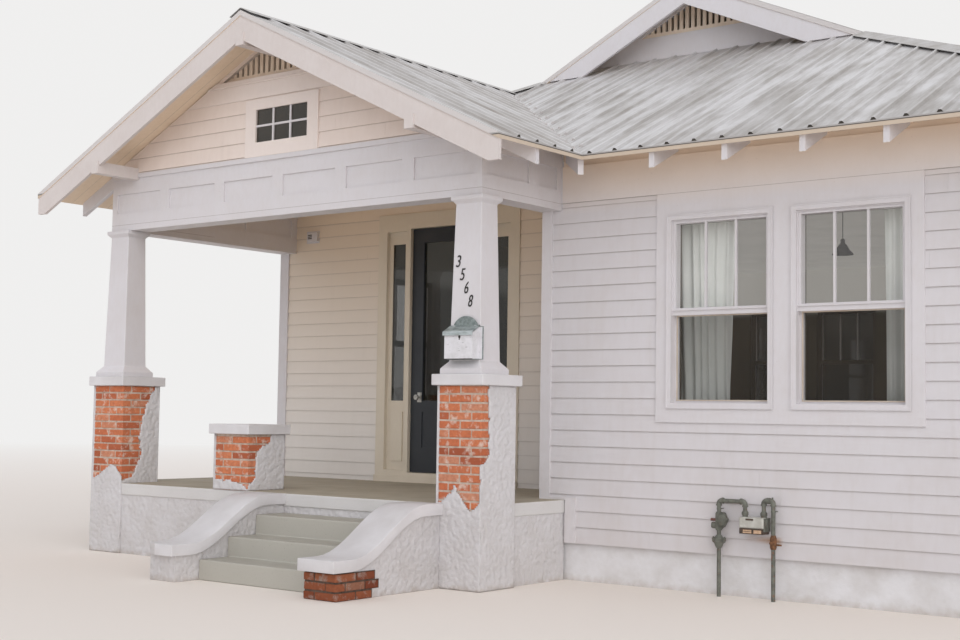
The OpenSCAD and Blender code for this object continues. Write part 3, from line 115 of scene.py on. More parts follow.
class Finish(Graph):
    # a material with one Principled shader, built up from wires
    def __init__(self, name, roughness=0.5, specular=0.5, **plain):
        self.material = bpy.data.materials.new(name)
        super().__init__(self.material)
        self.shader = self.tree.nodes["Principled BSDF"]
        self.known = {}
        plain.update({"Roughness": roughness, "Specular IOR Level": specular})
        for socket, value in plain.items():
            self.shader.inputs[socket.replace("_", " ")].default_value = value

    def coords(self, output="Object"):
        if output not in self.known:
            self.known[output] = self.add("ShaderNodeTexCoord", output=output)
        return self.known[output]

    def axis(self, letter, source="Object"):
        if (letter, source) not in self.known:
            self.known[(letter, source)] = self.add(
                "ShaderNodeSeparateXYZ", {}, {0: self.coords(source)}, letter)
        return self.known[(letter, source)]

    def house(self, letter):
        # a distance from the left end of the front wall
        if letter not in self.known:
            self.known[letter] = self.axis(letter) - corner["XYZ".index(letter)]
        return self.known[letter]

    def level(self, low, high):
        # 0 to 1 between two heights above the ground
        return self.rise(self.axis("Z"), low, high)

    def grain(self, size, stretch=(1, 1, 1), detail=3.0, roughness=0.55, turn=(0, 0, 0)):
        place = self.add("ShaderNodeMapping", {}, {
            "Vector": self.coords(), "Scale": stretch, "Rotation": turn})
        return self.add("ShaderNodeTexNoise", {}, {
            "Vector": place, "Scale": 1 / size, "Detail": detail, "Roughness": roughness})

    def cells(self, size, feature="F1", stretch=(1, 1, 1)):
        place = self.add("ShaderNodeMapping", {}, {"Vector": self.coords(), "Scale": stretch})
        return self.add("ShaderNodeTexVoronoi", {"feature": feature}, {
            "Vector": place, "Scale": 1 / size})

    def rise(self, value, low, high, start=0.0, end=1.0):
        return self.add("ShaderNodeMapRange", {"clamp": True}, {
            "Value": value, "From Min": low, "From Max": high, "To Min": start, "To Max": end})

    def patch(self, low, high, *size, **shape):
        return self.rise(self.grain(*size, **shape), low, high)

    def mottle(self, first, second, *place, **shape):
        return self.blend(self.patch(*place, **shape), first, second)

    def blend(self, mask, *colours):
        first, second = [rgb(*colour) if isinstance(colour, tuple) else colour for colour in colours]
        return self.add("ShaderNodeMix", {"data_type": "RGBA"}, {0: mask, 6: first, 7: second}, 2)

    def bump(self, height, distance, strength=1.0):
        return self.add("ShaderNodeBump", {}, {
            "Height": height, "Distance": distance, "Strength": strength})

    def use(self, **wires):
        sockets = {"colour": "Base Color", "roughness": "Roughness", "metallic": "Metallic",
                   "alpha": "Alpha", "normal": "Normal", "glow": "Emission Color"}
        for key, wire in wires.items():
            self.tree.links.new(wire.socket, self.shader.inputs[sockets[key]])
        return self

    def cover(self, colour, height, distance, strength, **wires):
        return self.use(colour=colour, normal=self.bump(height, distance, strength), **wires)


def weathered(finish, clean, worn, amount=0.5, size=0.35):
    # paint that has yellowed and greyed in soft patches, and more so near the ground
    cloud = finish.grain(size, detail=5)
    fine = finish.grain(size / 9, stretch=(1, 1, 0.4), detail=3)
    low = finish.level(1.1, 0.25)
    mask = finish.rise(cloud * 0.6 + fine * 0.4, 0.42, 0.72) * amount + low * cloud * 0.9
    return finish.blend(finish.rise(mask, 0, 1), clean, worn)


eaves = {"low": 2.95, "high": 3.38, "left": 0.2, "front": -0.09, "back": 0.3, "joint": (3.0428, 3.0472)}


def eavePaintedBounceLight(finish, paint):
    # painted light: a warm bounce light under the front eave, painted as a creamier tone of the paint there
    z = finish.axis("Z")
    y = finish.house("Y")
    mask = finish.level(eaves["low"], eaves["high"]) * (y > eaves["front"])
    mask = mask * (finish.house("X") > eaves["left"]) * (y < eaves["back"])
    paint = finish.blend(mask * 0.85, paint, (246, 226, 204))
    # a painted shadow line: the joint under the frieze board runs on above the windows
    low, high = eaves["joint"]
    joint = (z > low) * (z < high) * (y < 0.02)
    return finish.blend(joint * 0.55, paint, (140, 130, 124))


room = {"left": -4.17, "right": 4.40, "front": 0.07, "entry": 1.25, "back": 9.53, "top": 3.45}


def isInside(finish):
    # 1 on the room side of the outer walls
    x = finish.house("X")
    y = finish.house("Y")
    inside = (x > room["left"]) * (x < room["right"]) * (y < room["back"])
    inside = inside * (finish.axis("Z") < room["top"])
    behind = finish.rise((y > room["entry"]) + (x > room["front"]) * (y > room["front"]), 0, 1)
    return inside * behind


def sidingPaint(name="siding_paint", clean=(212, 209, 212), worn=(203, 197, 196), high=None):
    finish = Finish(name, 0.6, 0.35, Emission_Strength=roomGlow)
    paint = weathered(finish, clean, worn, 0.2 if high else 0.5, 0.5)
    # painted light: where a high colour is given, the paint turns warmer up the wall
    if high:
        paint = finish.blend(finish.level(1.0, 3.0) * 0.8, paint, high)
    brushed = finish.grain(0.012, stretch=(1, 1, 9), detail=2)
    streak = finish.patch(0.56, 0.74, 0.09, stretch=(1, 1, 0.12), detail=3)
    paint = finish.blend(streak * (0.05 if high else 0.13), paint, (189, 180, 174))
    # painted shade: a dark strip just under the butt of each course, and the boards' undersides painted
    # darker, for the lap shadow lines
    lapShadow = finish.rise((finish.axis("Z") - 0.3) % 0.129, 0.119, 0.128)
    undersideShade = finish.rise(finish.axis("Z", "Normal"), -0.3, -0.7)
    # painted warm bounce light under the front eave, and a painted shadow line above the windows
    paint = eavePaintedBounceLight(finish, paint)
    paint = finish.blend(finish.rise(lapShadow * 0.24 + undersideShade * 0.5, 0, 1), paint, (140, 128, 118))
    # a brown stain on one board above the meter
    x = finish.house("X")
    y = finish.house("Y")
    stain = finish.level(0.398, 0.424) * finish.level(0.464, 0.434) * (y < 0) * (x > 0)
    stain = stain * finish.rise(x, 1.84, 2.06) * finish.rise(x, 2.165, 2.125)
    stain = stain * finish.patch(0.3, 0.6, 0.06, stretch=(0.4, 1, 1), detail=4)
    paint = finish.blend(stain * 0.85, paint, (182, 142, 108))
    inside = isInside(finish)
    # painted shade and painted light: the room side is painted dark, lighter near the ceiling, where it also
    # has a painted glow though there is no lamp
    upper = finish.level(2.78, 2.9)
    roomPaintedShadeAndGlow = finish.blend(upper, (90, 80, 64), (132, 126, 116))
    colour = finish.blend(inside, paint, roomPaintedShadeAndGlow)
    glow = finish.blend(inside * upper, (0, 0, 0), (150, 148, 143))
    height = brushed * 0.5 + finish.grain(0.03, detail=2) * 0.5
    return finish.cover(colour, height, 0.0012, 0.5, glow=glow)


def trimPaint(name="trim_paint", clean=(214, 211, 214), worn=(205, 199, 198), amount=0.5):
    finish = Finish(name, 0.52, 0.4)
    # painted warm bounce light under the front eave, and a painted shadow line above the windows
    paint = eavePaintedBounceLight(finish, weathered(finish, clean, worn, amount, 0.28))
    speck = finish.patch(0.7, 0.78, 0.02, detail=4)
    paint = finish.blend(speck * 0.35, paint, (168, 157, 146))
    # painted shade: trim on the room side is painted dark
    paint = finish.blend(isInside(finish), paint, (84, 74, 60))
    height = finish.grain(0.011, stretch=(1, 1, 5), detail=2)
    return finish.cover(paint, height, 0.0008, 0.45)


def splashed(finish, paint, worn, amount, top, size, low):
    # dirt thrown up by the rain
    mask = finish.rise(finish.level(top, 0.0) * finish.grain(size), low, 0.6)
    return finish.blend(mask * amount, paint, worn)


def stuccoFinish():
    finish = Finish("lumpy_stucco", 0.85, 0.2)
    lumps = finish.cells(0.036, "SMOOTH_F1")
    fine = finish.grain(0.009, detail=4)
    sunk = finish.rise(lumps + finish.grain(0.024, detail=3) * 0.5, 0.5, 0.95)
    paint = weathered(finish, (211, 209, 211), (198, 194, 193), 0.5, 0.22)
    # painted shade: the hollows between the lumps are painted a little darker
    paint = finish.blend(sunk * 0.1, paint, (178, 172, 169))
    paint = splashed(finish, paint, (170, 158, 146), 0.6, 0.09, 0.07, 0.25)
    height = (1 - sunk) * 0.8 + fine * 0.2
    return finish.cover(paint, height, 0.0075, 0.9)


def foundationFinish():
    finish = Finish("foundation_render", 0.9, 0.15)
    paint = finish.mottle((222, 221, 223), (206, 203, 202), 0.35, 0.7, 0.2, detail=5)
    paint = splashed(finish, paint, (168, 154, 140), 0.5, 0.1, 0.08, 0.2)
    height = finish.cells(0.04, "SMOOTH_F1") * 0.7 + finish.grain(0.01, detail=4) * 0.3
    return finish.cover(paint, height, 0.006, 0.7)


def brickFinish(name="fired_brick", darker=1.0):
    finish = Finish(name, 0.9, 0.15)
    tone = finish.add("ShaderNodeAttribute", {"attribute_name": "tone"}, output="Fac")
    shade = [[round(c * darker) for c in colour] for colour in (
        (162, 88, 62), (194, 112, 78), (208, 128, 90), (200, 140, 112))]
    body = finish.add("ShaderNodeValToRGB", {"stops": [
        (place, rgb(*colour)) for place, colour in zip((0.0, 0.35, 0.7, 1.0), shade)]}, {0: tone})
    mottle = finish.patch(0.4, 0.68, 0.03, detail=5)
    body = finish.blend(mottle * 0.4, body, tuple(c * darker for c in (152, 88, 68)))
    lime = finish.patch(0.535, 0.66, 0.075, detail=6, roughness=0.68)
    body = finish.blend(lime * 0.75, body, tuple(c * darker for c in (216, 200, 188)))
    height = finish.grain(0.006, detail=4) * 0.6 + finish.grain(0.05, detail=2)
    return finish.cover(body, height, 0.003, 0.8)


def mortarFinish():
    finish = Finish("old_mortar", 0.95, 0.1)
    paint = finish.mottle((206, 190, 176), (168, 146, 130), 0.35, 0.7, 0.05, detail=5)
    return finish.cover(paint, finish.grain(0.008, detail=4), 0.003, 0.9)


def concreteFinish(name, top, side, worn):
    finish = Finish(name, 0.8, 0.25)
    up = finish.rise(finish.axis("Z", "Normal"), 0.4, 0.6)
    cloud = finish.patch(0.35, 0.7, 0.3, detail=6)
    base = finish.blend(up, side, top)
    paint = finish.blend(cloud * 0.45 * (0.2 + up * 0.8), base, worn)
    speck = finish.patch(0.62, 0.72, 0.012, detail=3)
    paint = finish.blend(speck * 0.25, paint, (120, 112, 102))
    return finish.cover(paint, finish.grain(0.007, detail=4), 0.002, 0.6)


roof = {
    "left": -4.76, "right": 4.984, "front": -0.482, "back": 10.082, "eave": 3.336,
    "ridge": -0.11, "porchRidge": -2.0305, "porchEave": 0.699, "porchEdge": -1.555,
    "gablet": 2.45, "backGablet": 7.15, "valleyTop": 2.2475,
    "step": 0.2286, "ribX": 0.994, "ribY": -0.628, "base": 0.046, "crown": 0.018, "rise": 0.019,
    "capLeg": 0.14, "capSheet": 0.003,
}
roofEdge = {"sheet": 3.3361, "lip": 3.3265, "board": 3.3195, "blur": 0.001}


def roofFinish(name, alongX):
    # galvanised sheets on painted boards: streaks run down the slope
    finish = Finish(name)
    stretch = (0.14, 1, 0.14) if alongX else (1, 0.14, 0.14)
    streak = finish.patch(0.42, 0.66, 0.1, stretch=stretch, detail=5, roughness=0.62)
    patch = finish.patch(0.45, 0.62, 0.42, stretch=[(1 + part) / 2 for part in stretch], detail=5)
    spangle = finish.cells(0.03)
    zinc = finish.blend(streak * 0.7, (218, 217, 219), (160, 154, 148))
    zinc = finish.blend(patch * 0.5, zinc, (150, 144, 138))
    zinc = finish.blend(spangle * 0.12, zinc, (208, 208, 210))
    # painted shade along the foot of each rib, and a painted highlight on its pale crown
    step = roof["step"]
    first = corner.y + roof["ribY"] if alongX else corner.x + roof["ribX"]
    pan = (finish.axis("Y" if alongX else "X") - first + step / 2) % step - step / 2
    foot = finish.rise(abs(pan), 0.04, 0.021)
    crown = finish.rise(abs(pan), 0.012, 0.009)
    zinc = finish.blend(foot * (1 - crown) * 0.3, zinc, (124, 118, 112))
    zinc = finish.blend(crown * 0.35, zinc, (214, 213, 214))
    up = finish.rise(finish.axis("Z", "Normal"), 0.2, 0.4)
    # painted shade on the edge faces: a dark gap under the sheet's lip, and the board below painted a darker
    # beige than the deck
    lip, board = [finish.level(roofEdge[layer] - roofEdge["blur"], roofEdge[layer] + roofEdge["blur"])
                  for layer in ("lip", "board")]
    edge = finish.blend(board, (200, 184, 166), finish.blend(lip, (84, 78, 72), (170, 167, 165)))
    # partly painted light: the underside boards are beige paint, made warmer as painted warm light in the
    # shade under the eaves
    deck = weathered(finish, (236, 216, 192), (218, 196, 168), 0.6, 0.3)
    joint = finish.rise(finish.axis("Y" if alongX else "X") % 0.14, 0.003, 0.006)
    down = finish.axis("Z", "Normal") < -0.5
    deck = finish.blend((1 - joint) * 0.5, deck, (150, 136, 120))
    side = finish.blend(finish.axis("Z") > roofEdge["sheet"], edge, (206, 201, 199))
    side = finish.blend(down, side, deck)
    colour = finish.blend(up, side, zinc)
    rough = finish.rise(streak, 0, 1, 0.42, 0.62) * up + 0.6 * (1 - up)
    height = finish.grain(0.35, detail=2) + streak * 0.15
    return finish.cover(colour, height, 0.01, 0.35, roughness=rough, metallic=up * 0.45)


panes = {"meeting": 2.12, "gable": 3.4, "entry": 1.15, "back": 9.4}


def glassFinish():
    finish = Finish("window_glass", 0.03, 0.6, IOR=1.5)
    y = finish.house("Y")
    z = finish.axis("Z")
    cloud = finish.patch(0.35, 0.7, 0.55, detail=3)
    gable = z > panes["gable"]
    entry = (y > panes["entry"]) * (y < panes["entry"] + 0.15)
    upper = (z > panes["meeting"]) * (1 - gable) * (1 - entry)
    # painted reflection and painted shade: the upper panes are veiled in pale grey for the sky seen in them,
    # the others are dark brown for the dim room behind, darker in the door, and the back panes are nearly
    # opaque
    paintedSkyReflection = finish.blend(cloud, (252, 252, 250), (226, 224, 220))
    paintedRoomShade = finish.blend(cloud, (44, 40, 32), (66, 58, 48))
    paintedRoomShade = finish.blend(entry, paintedRoomShade, finish.blend(cloud, (30, 31, 26), (46, 47, 40)))
    alpha = 0.22 + upper * -0.16 + entry * 0.42 + gable * 0.62
    alpha = finish.rise(y > panes["back"], 0, 1, alpha, 0.92)
    return finish.use(colour=finish.blend(upper * (y < panes["back"]), paintedRoomShade, paintedSkyReflection), alpha=alpha)


def plainPaint(name, first, second, roughness=0.5, metallic=0.0, size=0.05, bump=0.0006):
    finish = Finish(name, roughness, 0.45, Metallic=metallic)
    colour = finish.mottle(first, second, 0.36, 0.68, size, detail=5)
    return finish.cover(colour, finish.grain(size / 5, detail=3), bump, 0.6)


def meterFinish():
    finish = Finish("meter_paint", 0.55, 0.4)
    paint = finish.mottle((110, 112, 103), (82, 83, 76), 0.4, 0.68, 0.04, detail=5)
    rust = finish.patch(0.55, 0.68, 0.03, detail=6, roughness=0.7)
    x = finish.house("X")
    low = finish.level(0.47, 0.43) * (x > 1.9)
    paint = finish.blend(finish.rise(rust * (0.35 + low), 0, 1), paint, (124, 74, 50))
    return finish.cover(paint, finish.grain(0.01, detail=4), 0.001, 0.7)


def patinaOf(finish):
    return finish.mottle((142, 152, 150), (98, 108, 108), 0.38, 0.64, 0.03, detail=6, roughness=0.65)


def mailboxFinish():
    # chalky white body, and a back plate with grey-green patina
    finish = Finish("mailbox_white", 0.5, 0.4)
    cloud = finish.patch(0.4, 0.72, 0.06, detail=5)
    white = finish.blend(cloud, (222, 221, 225), (204, 203, 205))
    chip = finish.patch(0.66, 0.7, 0.02, stretch=(0.5, 1, 1.6), detail=5)
    white = finish.blend(chip * 0.55, white, (128, 126, 128))
    y = finish.house("Y")
    across = abs(finish.house("X") - 0.0735)
    plate = (y > -1.1166) * finish.rise((finish.axis("Z") > 1.975) + (across > 0.164), 0, 1)
    rim = finish.rise(plate + (finish.axis("Z") < 1.7335), 0, 1)
    relief = finish.grain(0.018, detail=2)
    return finish.cover(finish.blend(rim, white, patinaOf(finish)), relief * rim + cloud * 0.1, 0.003, 0.7)


def lidFinish():
    finish = Finish("mailbox_patina", 0.5, 0.45, Metallic=0.2)
    y = finish.house("Y")
    pale = finish.patch(0.42, 0.66, 0.03, stretch=(0.25, 1, 1), detail=4)
    edge = finish.rise(y, -1.2, -1.208)
    paint = finish.blend(finish.rise(pale * 0.7 + edge * 0.5, 0, 1), patinaOf(finish), (186, 196, 198))
    return finish.cover(paint, finish.grain(0.012, detail=3), 0.001, 0.6)


def boardedCeiling():
    finish = Finish("boarded_ceiling", 0.6, 0.3)
    groove = finish.rise(finish.axis("Y") % 0.08, 0.003, 0.007)
    # partly painted light: beige board paint, made warmer as painted warm light in the porch's shade
    paint = weathered(finish, (250, 218, 174), (236, 200, 154), 0.6, 0.4)
    paint = finish.blend(groove, (116, 100, 84), paint)
    return finish.cover(paint, groove, 0.003, 0.7)


def floorBoards():
    finish = Finish("floor_boards", 0.45, 0.4)
    grain = finish.patch(0.35, 0.7, 0.03, stretch=(1, 0.06, 1), detail=5)
    joint = finish.rise(finish.axis("X") % 0.083, 0.001, 0.003)
    wood = finish.blend(grain, (124, 84, 54), (92, 58, 36))
    return finish.cover(finish.blend(joint, (44, 28, 18), wood), grain * 0.3 + joint, 0.001, 0.6)


def curtainFinish():
    finish = Finish("curtain_linen", 0.9, 0.1)
    threads = finish.grain(0.004, stretch=(1, 1, 0.15), detail=3)
    threads = threads * finish.grain(0.004, stretch=(0.15, 1, 1))
    cloth = finish.mottle((232, 235, 231), (218, 222, 217), 0.35, 0.7, 0.4, detail=3)
    return finish.cover(cloth, threads, 0.001, 0.5)


def doorFinish():
    finish = Finish("door_paint", 0.42, 0.5)
    paint = finish.mottle((34, 39, 46), (44, 49, 55), 0.35, 0.7, 0.3, detail=4)
    return finish.cover(paint, finish.grain(0.012, stretch=(1, 1, 0.2)), 0.0006, 0.5)


# the strength of the painted glow on the room's walls and ceiling, which have no lamp
roomGlow = 0.62
siding = sidingPaint()
# partly painted light: the shaded gable's boards have a yellower paint of their own, made brighter and warmer
# still for warm light in the shade
gableSidingPaintAndLight = sidingPaint("gable_paint_and_light", (232, 219, 211), (222, 206, 196))
# painted light: the porch's entry wall is brighter and warmer than the same paint outside, for warm light in
# the porch's shade
entrySidingWithPaintedLight = sidingPaint("entry_paint_with_painted_light", (228, 223, 218), (216, 210, 203), (228, 212, 192))
rakePaint = trimPaint("rake_paint", (212, 204, 201), (200, 189, 184), 0.5)
# painted light: the door trim is warmer than the trim outside, for warm light in the porch's shade
entryTrimWithPaintedLight = trimPaint("entry_trim_with_painted_light", (217, 207, 190), (202, 191, 174), 0.3)
# partly painted light: the gable's trim is brighter and warmer than the trim outside, for warm light in the
# shade
gableTrimPaintAndLight = trimPaint("gable_trim_paint_and_light", (232, 221, 215), (222, 209, 202), 0.4)
ventPaint = trimPaint("vent_paint", (232, 216, 198), (212, 194, 174), 0.6)
# painted shade and painted light: the room's plaster is painted dim, and its ceiling faces have a painted
# glow, though there is no lamp
plasterShadeAndGlow = plainPaint("room_plaster_shade_and_glow", (150, 146, 138), (134, 129, 120), 0.8, 0.0, 0.4)
plasterShadeAndGlow.use(glow=plasterShadeAndGlow.blend(plasterShadeAndGlow.axis("Z", "Normal") < -0.5, (0, 0, 0), (150, 148, 143)))
plasterShadeAndGlow.shader.inputs["Emission Strength"].default_value = roomGlow
rust = plainPaint("rusty_iron", (132, 92, 62), (82, 60, 46), 0.85, 0.1, 0.016, 0.0015)
meterCase = plainPaint("meter_case", (194, 193, 186), (172, 170, 161), 0.5, 0.1, 0.05)
meterDark = plainPaint("meter_dark", (92, 76, 64), (60, 52, 46), 0.6, 0.1, 0.02)
# painted shade: a beige paint for the lower sashes' stops, standing for the shade in the lower sash's recess
sashPaintedShade = plainPaint("sash_painted_shade", (204, 192, 178), (188, 172, 156), 0.55, 0.0, 0.2)
redPlug = plainPaint("red_plug", (118, 74, 66), (92, 60, 54), 0.6, 0.0, 0.02)
coping = plainPaint("coping_paint", (216, 214, 216), (204, 201, 202), 0.6, 0.0, 0.3, 0.002)
meterPane = plainPaint("meter_pane", (206, 176, 146), (176, 142, 114), 0.3, 0.0, 0.02)
trim = trimPaint()
stucco = stuccoFinish()
foundation = foundationFinish()
brick = brickFinish()
oldBrick = brickFinish("old_brick", 0.72)
mortar = mortarFinish()
oldMortar = plainPaint("old_mortar_dark", (96, 78, 66), (70, 56, 48), 0.9, 0.0, 0.04, 0.003)
slabConcrete = concreteFinish("slab_concrete", (176, 168, 152), (210, 208, 207), (148, 138, 122))
stepConcrete = concreteFinish("step_concrete", (176, 173, 164), (180, 177, 168), (156, 150, 140))
roofAlongX = roofFinish("roof_sheets_side", True)
roofAlongY = roofFinish("roof_sheets_front", False)
zincTrim = plainPaint("zinc_trim", (196, 194, 194), (170, 166, 162), 0.45, 0.45, 0.12, 0.002)
# painted shade: dark paint for the open ends of the roof ribs and for the slots of the louvred box, where
# there is only shade
paintedShadeGap = plainPaint("painted_shade_gap", (70, 66, 60), (46, 42, 38), 0.9)
glass = glassFinish()
door = doorFinish()
silver = plainPaint("satin_silver", (196, 196, 192), (150, 148, 142), 0.3, 0.9, 0.03, 0.0003)
black = plainPaint("black_metal", (36, 35, 34), (52, 49, 46), 0.45, 0.2, 0.03)
lampPaint = plainPaint("lamp_black", (18, 18, 17), (26, 25, 24), 0.85, 0.0, 0.03)
lampPaint.shader.inputs["Specular IOR Level"].default_value = 0.04
meterPaint = meterFinish()
boxPaint = mailboxFinish()
patina = lidFinish()
linen = curtainFinish()
ceilingPaint = boardedCeiling()
floorWood = floorBoards()

nodeFinishes = {}
for finish, names in (
        (roofAlongY, "back_slope front_slope"), (roofAlongX, "left_slope right_slope porch_slope"),
        (siding, "back_wall front_wall left_wall right_wall return_wall"),
        (entrySidingWithPaintedLight, "entry_wall_left entry_wall_middle entry_wall_right"), (gableSidingPaintAndLight, "gable_wall"),
        (ventPaint, "gable_vents"), (rakePaint, "rake_boards"), (foundation, "foundation"),
        (stucco, "porch_base cheek_walls brick_piers"), (slabConcrete, "porch_slab"), (stepConcrete, "steps"),
        (plasterShadeAndGlow, "ceiling"), (ceilingPaint, "porch_ceiling"), (floorWood, "house_floor"),
        (glass, "window_glass door_glass"), (door, "front_door"), (silver, "door_handle"),
        (black, "house_numbers"), (lampPaint, "pendant_lamp"), (meterPaint, "gas_meter"),
        (entryTrimWithPaintedLight, "door_frame"), (gableTrimPaintAndLight, "gable_window"), (boxPaint, "mailbox"),
        (patina, "mailbox_lid"), (linen, "curtains"), (zincTrim, "ridge_caps")):
    nodeFinishes.update(dict.fromkeys(names.split(), finish))
for name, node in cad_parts.items():
    finish = nodeFinishes.get(name, trim)
    for spot in range(len(node.data.materials)):
        node.data.materials[spot] = finish.material
print("finishes made")


# shapes
def addObject(name, data):
    made = bpy.data.objects.new(name, data)
    bpy.context.scene.collection.objects.link(made)
    return made


def facesOf(verts):
    return {face for vert in verts for face in vert.link_faces}


def addBox(bm, low, high, spot=0):
    low = Vector(low)
    high = Vector(high)
    place = Matrix.Translation((low + high) / 2) @ Matrix.Diagonal((*(high - low), 1))
    made = bmesh.ops.create_cube(bm, size=1, matrix=place)["verts"]
    for face in facesOf(made):
        face.material_index = spot
    return made


def addBlock(bm, x, y, half, low, high):
    # a box of square plan about a middle
    addBox(bm, (x - half, y - half, low), (x + half, y + half, high))


def bevelEdges(bm, offset, segments=1, edges=None):
    bmesh.ops.bevel(bm, geom=edges or bm.edges[:], offset=offset, segments=segments, profile=0.5,
                    affect="EDGES", material=-1, clamp_overlap=bool(edges))


def closeHoles(bm):
    bmesh.ops.holes_fill(bm, edges=[edge for edge in bm.edges if edge.is_boundary], sides=0)


def cutAway(bm, planes):
    # cut off what lies beyond each plane, and close the cut
    for point, away in planes:
        bmesh.ops.bisect_plane(bm, geom=bm.verts[:] + bm.edges[:] + bm.faces[:], dist=1e-5,
                               plane_co=point, plane_no=away, clear_outer=True)
        closeHoles(bm)


def absorb(whole, part):
    spare = bpy.data.meshes.new("spare")
    part.to_mesh(spare)
    part.free()
    whole.from_mesh(spare)
    bpy.data.meshes.remove(spare)


def makePiece(name, bm, slot, finishes, replaces=(), smooth=False, crease=0, body="house"):
    bmesh.ops.translate(bm, vec=corner, verts=bm.verts)
    mesh = bpy.data.meshes.new(name)
    for face in bm.faces:
        face.smooth = smooth or crease > 0
    bm.to_mesh(mesh)
    bm.free()
    if crease:
        mesh.set_sharp_from_angle(angle=math.radians(crease))
    piece = addObject(name, mesh)
    for finish in finishes:
        mesh.materials.append(finish.material)
    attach(piece, body)
    if replaces:
        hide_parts(*replaces)
    return piece


def addRod(bm, start, end, first, last=None, sides=20, spot=0):
    if last is None:
        last = first
    run = Vector(end) - Vector(start)
    turn = run.to_track_quat("Z", "Y").to_matrix().to_4x4()
    turn.translation = (Vector(start) + Vector(end)) / 2
    made = bmesh.ops.create_cone(bm, cap_ends=True, segments=sides, radius1=first, radius2=last,
                                 depth=run.length, matrix=turn)["verts"]
    for face in facesOf(made):
        face.material_index = spot


def addBend(bm, centre, start, radius, thick):
    # a quarter ring about the Y axis; start is an angle from +X towards +Z
    place = (Matrix.Translation(centre) @ Matrix.Rotation(math.radians(-start), 4, "Y")
             @ Matrix.Translation((radius, 0, 0)))
    rim = bmesh.ops.create_circle(bm, segments=20, radius=thick, matrix=place)["verts"]
    edges = list({edge for vert in rim for edge in vert.link_edges})
    bmesh.ops.spin(bm, geom=rim + edges, cent=centre, axis=(0, -1, 0), angle=math.radians(90), steps=6)
    closeHoles(bm)


def addSheet(bm, middle, wide, tall, columns, rows):
    # an upright grid that faces the front
    place = (Matrix.Translation(middle) @ Matrix.Rotation(math.radians(90), 4, "X")
             @ Matrix.Diagonal((wide, tall, 1, 1)))
    bmesh.ops.create_grid(bm, x_segments=columns, y_segments=rows, size=0.5, matrix=place)


def softened(name, offset, segments=2):
    # a merged copy of a CAD node with its edges rounded
    bm = bmesh.new()
    bm.from_mesh(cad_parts[name].data)
    bmesh.ops.translate(bm, vec=-corner, verts=bm.verts)
    bmesh.ops.remove_doubles(bm, verts=bm.verts, dist=0.0001)
    bmesh.ops.dissolve_limit(bm, angle_limit=math.radians(1), verts=bm.verts, edges=bm.edges)
    sharp = [edge for edge in bm.edges if edge.is_manifold and edge.calc_face_angle() > math.radians(25)]
    bevelEdges(bm, offset, segments, sharp)
    for face in bm.faces:
        face.material_index = 0
    return bm


def shadeOf(dice, middle, spread):
    return min(1.0, max(0.0, dice.gauss(middle, spread)))


def between(points, place):
    # the height of a line through given points
    for (left, low), (right, high) in zip(points, points[1:]):
        if place <= right:
            part = (place - left) / (right - left)
            return low + (high - low) * max(0.0, part)
    return points[-1][1]


# lap siding: tapered boards in courses, notched round the openings
walls = {"left": -4.246, "right": 4.47, "entry": 1.182, "back": 9.6, "gable": -1.081,
         "low": 0.3, "porchLow": 0.64, "high": 3.515, "porchHigh": 3.44}
laps = {"exposure": 0.129, "start": 0.3, "butt": 0.013, "head": 0.003, "longest": 3.7, "gap": 0.0008}
pair = {"half": 1.066, "low": 1.277, "high": 2.971, "sash": 0.522}


def holesAt(*centres):
    return [(centre - pair["half"], centre + pair["half"], pair["low"], pair["high"]) for centre in centres]


def lapBoards(name, place, length, low, high, holes, cuts=(), paint=siding):
    bm = bmesh.new()
    dice = random.Random(name)
    course = 0
    while laps["start"] + course * laps["exposure"] < high:
        foot = laps["start"] + course * laps["exposure"]
        head = foot + laps["exposure"]
        course += 1
        if head < low + 0.004:
            continue
        levels = {max(foot, low), min(head, high)}
        for hole in holes:
            levels |= {level for level in hole[2:] if foot < level < head}
        levels = sorted(levels)
        ends = [0.0, length]
        joint = dice.uniform(0.6, laps["longest"])
        while joint < length - 0.5:
            ends.insert(-1, joint)
            joint += laps["longest"]
        for bottom, top in zip(levels, levels[1:]):
            if top - bottom < 0.004:
                continue
            runs = [(a + laps["gap"] / 2, b - laps["gap"] / 2) for a, b in zip(ends, ends[1:])]
            for left, right, lowEdge, highEdge in holes:
                if lowEdge < (bottom + top) / 2 < highEdge:
                    runs = [piece for a, b in runs for piece in ((a, min(b, left)), (max(a, right), b))
                            if piece[1] - piece[0] > 0.01]
            for a, b in runs:
                board = addBox(bm, (a, -laps["butt"], bottom), (b, 0.0, top))
                for vert in board:
                    if vert.co.y < -0.001:
                        part = (vert.co.z - foot) / laps["exposure"]
                        vert.co.y = -laps["butt"] + (laps["butt"] - laps["head"]) * part
    cutAway(bm, cuts)
    bmesh.ops.transform(bm, matrix=place, verts=bm.verts)
    return makePiece(name, bm, "siding", [paint])


def turned(x, y, degrees):
    return Matrix.Translation((x, y, 0)) @ Matrix.Rotation(math.radians(degrees), 4, "Z")


